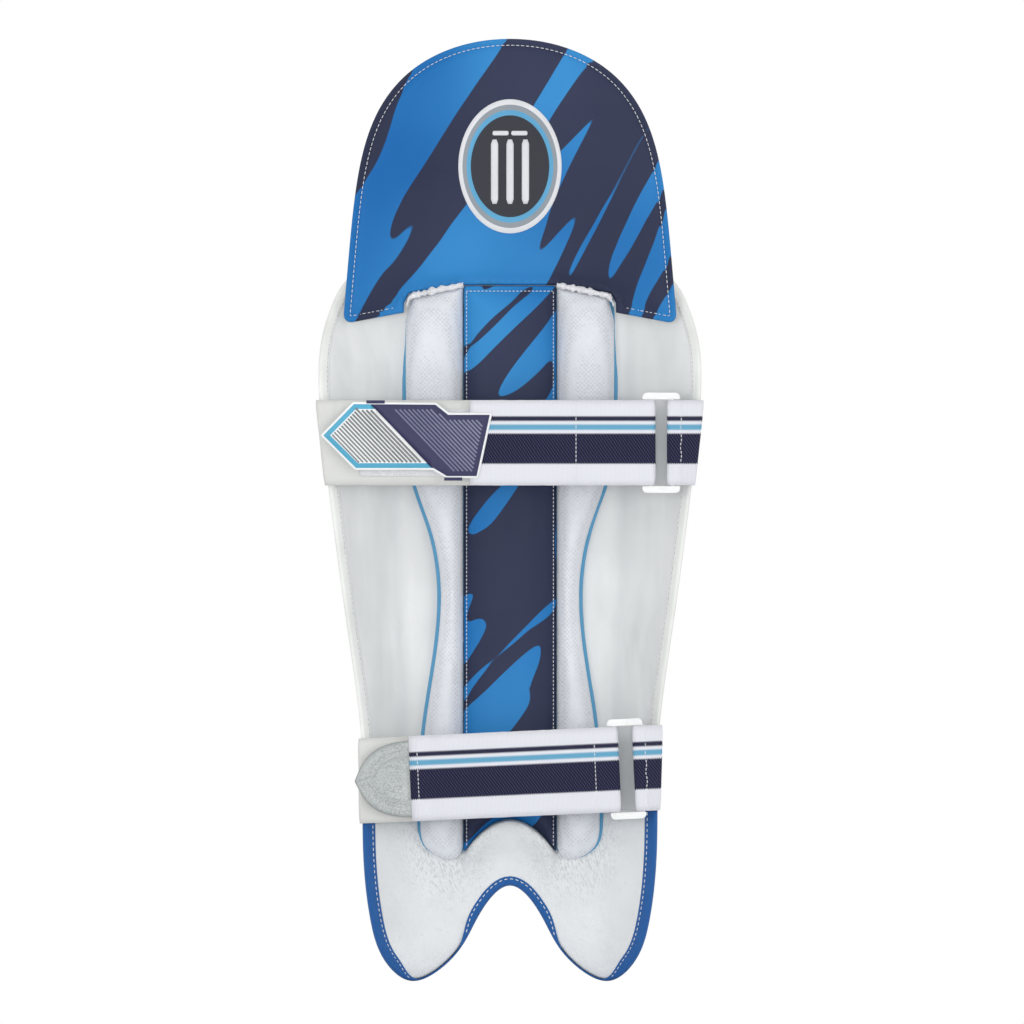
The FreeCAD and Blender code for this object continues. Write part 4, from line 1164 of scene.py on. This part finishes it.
def build_strap(strap, web, tab):
    """Everything of a strap but its pull tab. Gives the tab's outline and where its back lies."""
    name, start, rise = strap["name"], strap["start"], strap["rise"]
    end_body = name + "_strap_end"
    upper, under = strap["level"] - PITCH / 2, strap["level"] + PITCH / 2
    left_bar, right_bar = strap["bars"]
    ease, fold = right_bar + 5.0, PITCH / 2 - CLEAR

    def under_path(across):
        end = strap["under_end"]
        return wrap_points(strap, -1, across, UNDER / 2) + [(end, chord(strap, end, across))]

    def web_path(across):
        def top(along, lower=0.0):
            return along, chord(strap, along, across) - PITCH + lower

        first = [top(start)]
        if rise:
            first = [top(start, -rise), top(start + 14.5, -rise), top(start + 25.0)]
        return first + [
            (left_bar + PITCH / 2, upper), (left_bar + PITCH / 2, under), (left_bar - 5.0, under),
            top(left_bar - 20.0, WEB + CLEAR), top(strap["stitch"], WEB + CLEAR)]

    def anchor_slope(across):
        edge, depth = wrap_points(strap, 1, across, WEB / 2)[-1]
        return (depth - upper) / (edge - ease)

    def anchor_path(across):
        sewn, slope = right_bar + 8.0, anchor_slope(across)
        end_depth = upper + slope * (sewn - ease) + (WEB + CLEAR) * math.hypot(1, slope)
        return wrap_points(strap, 1, across, WEB / 2) + [
            (ease, upper), (right_bar - PITCH / 2, upper), (right_bar - PITCH / 2, under),
            (right_bar + PITCH / 2, under), (sewn, end_depth)]

    def strip(piece, path, radii, thick, material, seed, body):
        obj = ribbon(name + piece, strap, path, radii, thick, material, seed)
        settle(obj, body, [name + piece])

    bends = ([12, 12] if rise else []) + [fold, fold, 12, 12]
    strip("_under_strap", under_path, [30, 2, 2], UNDER, STRAP_PU, 1, "pad")
    strip("_webbing", web_path, bends, WEB, web, 2, end_body)
    strip("_anchor_loop", anchor_path, [30, 2, 2, 5, fold, fold, 5], WEB, web, 3, "pad")

    def plate(piece, outline, near, thick, material, body):
        obj = strap_plate(name + piece, strap, outline, near, near + thick, material)
        settle(obj, body, [name + piece])

    near, web_far = UNDER / 2 + CLEAR, PITCH + WEB / 2
    low, high = strap["loop"]
    corners = [(low, -TAPE_HALF), (high, -TAPE_HALF), (high, TAPE_HALF), (low, TAPE_HALF)]
    plate("_loop_tape", polygon(corners, 4.0), near, TAPE, TOUCH_LOOP, "pad")
    fine = polygon(tab, 2.0)
    backing = fine + inward(fine) * 3.0
    hook = backing[backing[:, 0] < strap["hook_end"]]
    hook[:, 1] = np.clip(hook[:, 1], -TAPE_HALF, TAPE_HALF)
    plate("_hook_tape", hook, near + 2.0, TAPE, TOUCH_LOOP, end_body)
    filler = backing[backing[:, 0] < start + (12.0 if rise else -0.3)]
    plate("_tab_backing", filler, PITCH - WEB / 2, WEB, TAB_WHITE, end_body)
    front_seam(strap, -1)
    front_seam(strap, 1)
    for number, along in enumerate(strap["seams"]):
        lift = web_far + (rise if along < 0 else 0.0)
        cross_seam(name + "_webbing_stitching_%d" % number,
                   lambda across: on_strap(strap)(along, lift, across), end_body)

    def anchored(across):
        x = strap["anchor_seam"]
        depth = upper + anchor_slope(across) * (x - ease) - WEB / 2
        return strap_spot(strap, x + 0.5 * math.sin(across * 0.5), depth, across)

    cross_seam(name + "_anchor_stitching", anchored, "pad")
    return fine, web_far + CLEAR


# ---------------------------------------------------------------- pull tabs
def cut(outline, start, side):
    """The part of a closed outline that lies beyond a line through start, towards the vector side."""
    kept = []
    for a, b in zip(outline, np.roll(outline, -1, 0)):
        da, db = (a - start) @ side, (b - start) @ side
        if da >= 0:
            kept.append(a)
        if (da > 0) != (db > 0) and abs(da - db) > 1e-9:
            kept.append(a + (b - a) * da / (da - db))
    return np.array(kept)


def build_knee_tab(fine, base):
    """Moulded tab: a white plate, a teal and a navy frame, and raised hatching either side of a band."""
    top, shift = base + TAB, 13.0
    plate = strap_plate("knee_tab", KNEE, fine, base, top, TAB_WHITE, (0.4, 1.0, 2.0), 0.8)
    settle(plate, "knee_strap_end", ["knee_tab"])
    split, edge = np.array([1.0, -1.044]) / math.hypot(1, 1.044), np.array([-105.3, 30.3])
    right = np.array([-split[1], split[0]])
    outer, inner = fine + inward(fine) * 1.7, fine + inward(fine) * 5.2
    field = cut(inner, edge, -right)

    def flat(name, outline, low, high, material):
        obj = strap_plate(name, KNEE, outline, low, high, material, (0.35,), 0.2)
        settle(obj, "knee_strap_end")

    def hatch(name, outline, offsets, halves, material, low):
        """Raised bars along the split, each cut to the outline."""
        parts = []
        for c, half in zip(offsets, halves):
            places = edge + (c, 0.0) + split * np.arange(-80.0, 100.0, 0.4)[:, None]
            chosen = places[inside(places, outline)]
            if len(chosen) <= 8:
                continue
            rows = []
            for t in np.linspace(0, 1, 5):
                ring = []
                for u, lift in ((-1, low), (-0.8, top + 0.75), (0.8, top + 0.75), (1, low)):
                    x, z = chosen[0] + (chosen[-1] - chosen[0]) * t + right * half * u
                    ring.append(on_strap(KNEE)(x, lift, z))
                rows.append(ring)
            parts.append(tube(rows))
        settle(solid(name, joined(parts), material, sharp=True), "knee_strap_end")

    flat("knee_tab_teal", cut(outer, edge, -right), top - 0.3, top + 0.25, TAB_TEAL)
    flat("knee_tab_field", field, top - 0.3, top + 0.4, TAB_WHITE)
    flat("knee_tab_navy", cut(outer, edge, right), top - 0.3, top + 0.45, TAB_NAVY)
    offsets = np.arange(-73.5, -1.0, 3.3)
    hatch("knee_tab_hatch_grey", field + inward(field) * 0.8, offsets,
          np.interp(offsets, (-74, -1), (0.4, 0.9)), TAB_GREY, top + 0.2)
    offsets = np.arange(shift + 1.5, 80.0, 3.3)
    hatch("knee_tab_hatch_pale", cut(inner, edge + (shift, 0.0), right), offsets,
          np.full(len(offsets), 0.6), TAB_DIM, top + 0.3)
    for label, a0, a1, c in (("upper", -107.0, -93.3, 30.4), ("lower", -49.0, -35.6, -27.0)):
        tick = polygon([(a0, c - 1.2), (a1, c - 1.2), (a1, c + 1.2), (a0, c + 1.2)], 2.0)
        flat("knee_tab_tick_" + label, tick, base + 0.4, top + 0.2, TAB_NAVY)


def build_ankle_tab(fine, base):
    """Pointed tab of silver-grey leather with an embossed border round a raised panel."""
    half = curve([(-61.0, 29.2), (-74.5, 28.6), (-90.6, 26.2), (-104.2, 19.0), (-111.5, 9.5),
                  (-116.0, 0.0)], 1.8)
    outline = loop(half, half[::-1] * (1, -1), even([(-61.0, -29.2), (-61.0, 29.2)], 1.8))

    def lift(x, z, d):
        border = 0.45 * groove(d, 2.6, 0.7) + 0.35 * groove(d, 8.6, 0.6)
        panel = 0.4 * smooth(d, 10.8, 12.0)
        return base + TAB - rounded(d, 0.9) + (border + panel) * (1.0 - smooth(x, -78.0, -74.0))

    tab = pad("ankle_tab", outline, lift, lambda x, z, d: base, TAB_SILVER, 1.8,
              (0.4, 1.0, 1.9, 2.6, 3.3, 5.0, 6.8, 7.9, 8.6, 9.3, 10.8, 11.4, 12.2), on_strap(ANKLE))
    settle(tab, "ankle_strap_end", ["ankle_tab"])


# ---------------------------------------------------------------- build
build_board()
build_wing(1, "right")
build_wing(-1, "left")
build_instep()
build_front()
build_backing()
build_side_bolster(1, "right")
build_side_bolster(-1, "left")
build_centre_bolster()
build_flap()
build_knee_tab(*build_strap(KNEE, KNEE_WEB, KNEE_TAB))
build_ankle_tab(*build_strap(ANKLE, ANKLE_WEB, ANKLE_TAB))
for node, material in (("knee_ring", RING_WHITE), ("ankle_ring", RING_WHITE), ("cane_rods", CANE)):
    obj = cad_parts[node]
    obj.data.materials.clear()
    obj.data.materials.append(material)

# ---------------------------------------------------------------- stage, lights and camera
scene = bpy.context.scene
floor_mesh = bpy.data.meshes.new("floor")
low = cad_box[0].z - 0.0005
floor_mesh.from_pydata([(-6, -6, low), (6, -6, low), (6, 6, low), (-6, 6, low)], [], [[0, 1, 2, 3]])
floor = bpy.data.objects.new("floor", floor_mesh)
scene.collection.objects.link(floor)
pale = bpy.data.materials.new("floor_pale")
pale.use_nodes = True
pale.node_tree.nodes["Principled BSDF"].inputs["Base Color"].default_value = (0.86, 0.86, 0.87, 1)
pale.node_tree.nodes["Principled BSDF"].inputs["Roughness"].default_value = 0.9
floor_mesh.materials.append(pale)

# The world is pure white where it is seen or mirrored, and lights the part a little less.
world = bpy.data.worlds.new("studio")
scene.world = world
world.use_nodes = True
tree = world.node_tree
lighting, seen = tree.nodes["Background"], tree.nodes.new("ShaderNodeBackground")
for shader, strength in ((lighting, 0.80), (seen, 1.0)):
    shader.inputs[0].default_value = (1.0, 1.0, 1.0, 1.0)
    shader.inputs[1].default_value = strength
rays = tree.nodes.new("ShaderNodeLightPath")
shown = rays.outputs["Is Camera Ray"]
for ray in ("Is Glossy Ray", "Is Transmission Ray"):
    either = tree.nodes.new("ShaderNodeMath")
    either.operation = "MAXIMUM"
    tree.links.new(shown, either.inputs[0])
    tree.links.new(rays.outputs[ray], either.inputs[1])
    shown = either.outputs[0]
blend = tree.nodes.new("ShaderNodeMixShader")
for number, source in enumerate((shown, lighting.outputs[0], seen.outputs[0])):
    tree.links.new(source, blend.inputs[number])
tree.links.new(blend.outputs[0], tree.nodes["World Output"].inputs[0])


def lamp(name, position, target_height, size, power):
    """An area lamp that shines at a point above or below the origin."""
    light = bpy.data.lights.new(name, "AREA")
    light.energy, light.size = power, size
    obj = bpy.data.objects.new(name, light)
    scene.collection.objects.link(obj)
    obj.location = position
    obj.visible_camera = False
    way = Vector((0, 0, target_height)) - Vector(position)
    obj.rotation_euler = way.to_track_quat("-Z", "Y").to_euler()


lamp("key", (-2.3, -4.3, 0.55), 0.05, 1.6, 37.0)
lamp("front", (0.15, -4.8, 0.1), 0.0, 0.7, 36.0)
lamp("fill", (4.2, -4.2, 0.6), 0.0, 1.7, 38.0)
lamp("back", (1.1, 4.3, 2.5), 0.0, 3.2, 71.0)

camera_data = bpy.data.cameras.new("camera")
camera_data.type = "ORTHO"
camera_data.ortho_scale = 0.763
camera = bpy.data.objects.new("camera", camera_data)
scene.collection.objects.link(camera)
camera.location = (0.0015, -3.0, 0.0719)
camera.rotation_euler = (math.radians(90), 0, 0)
scene.camera = camera
scene.view_settings.view_transform = "Standard"
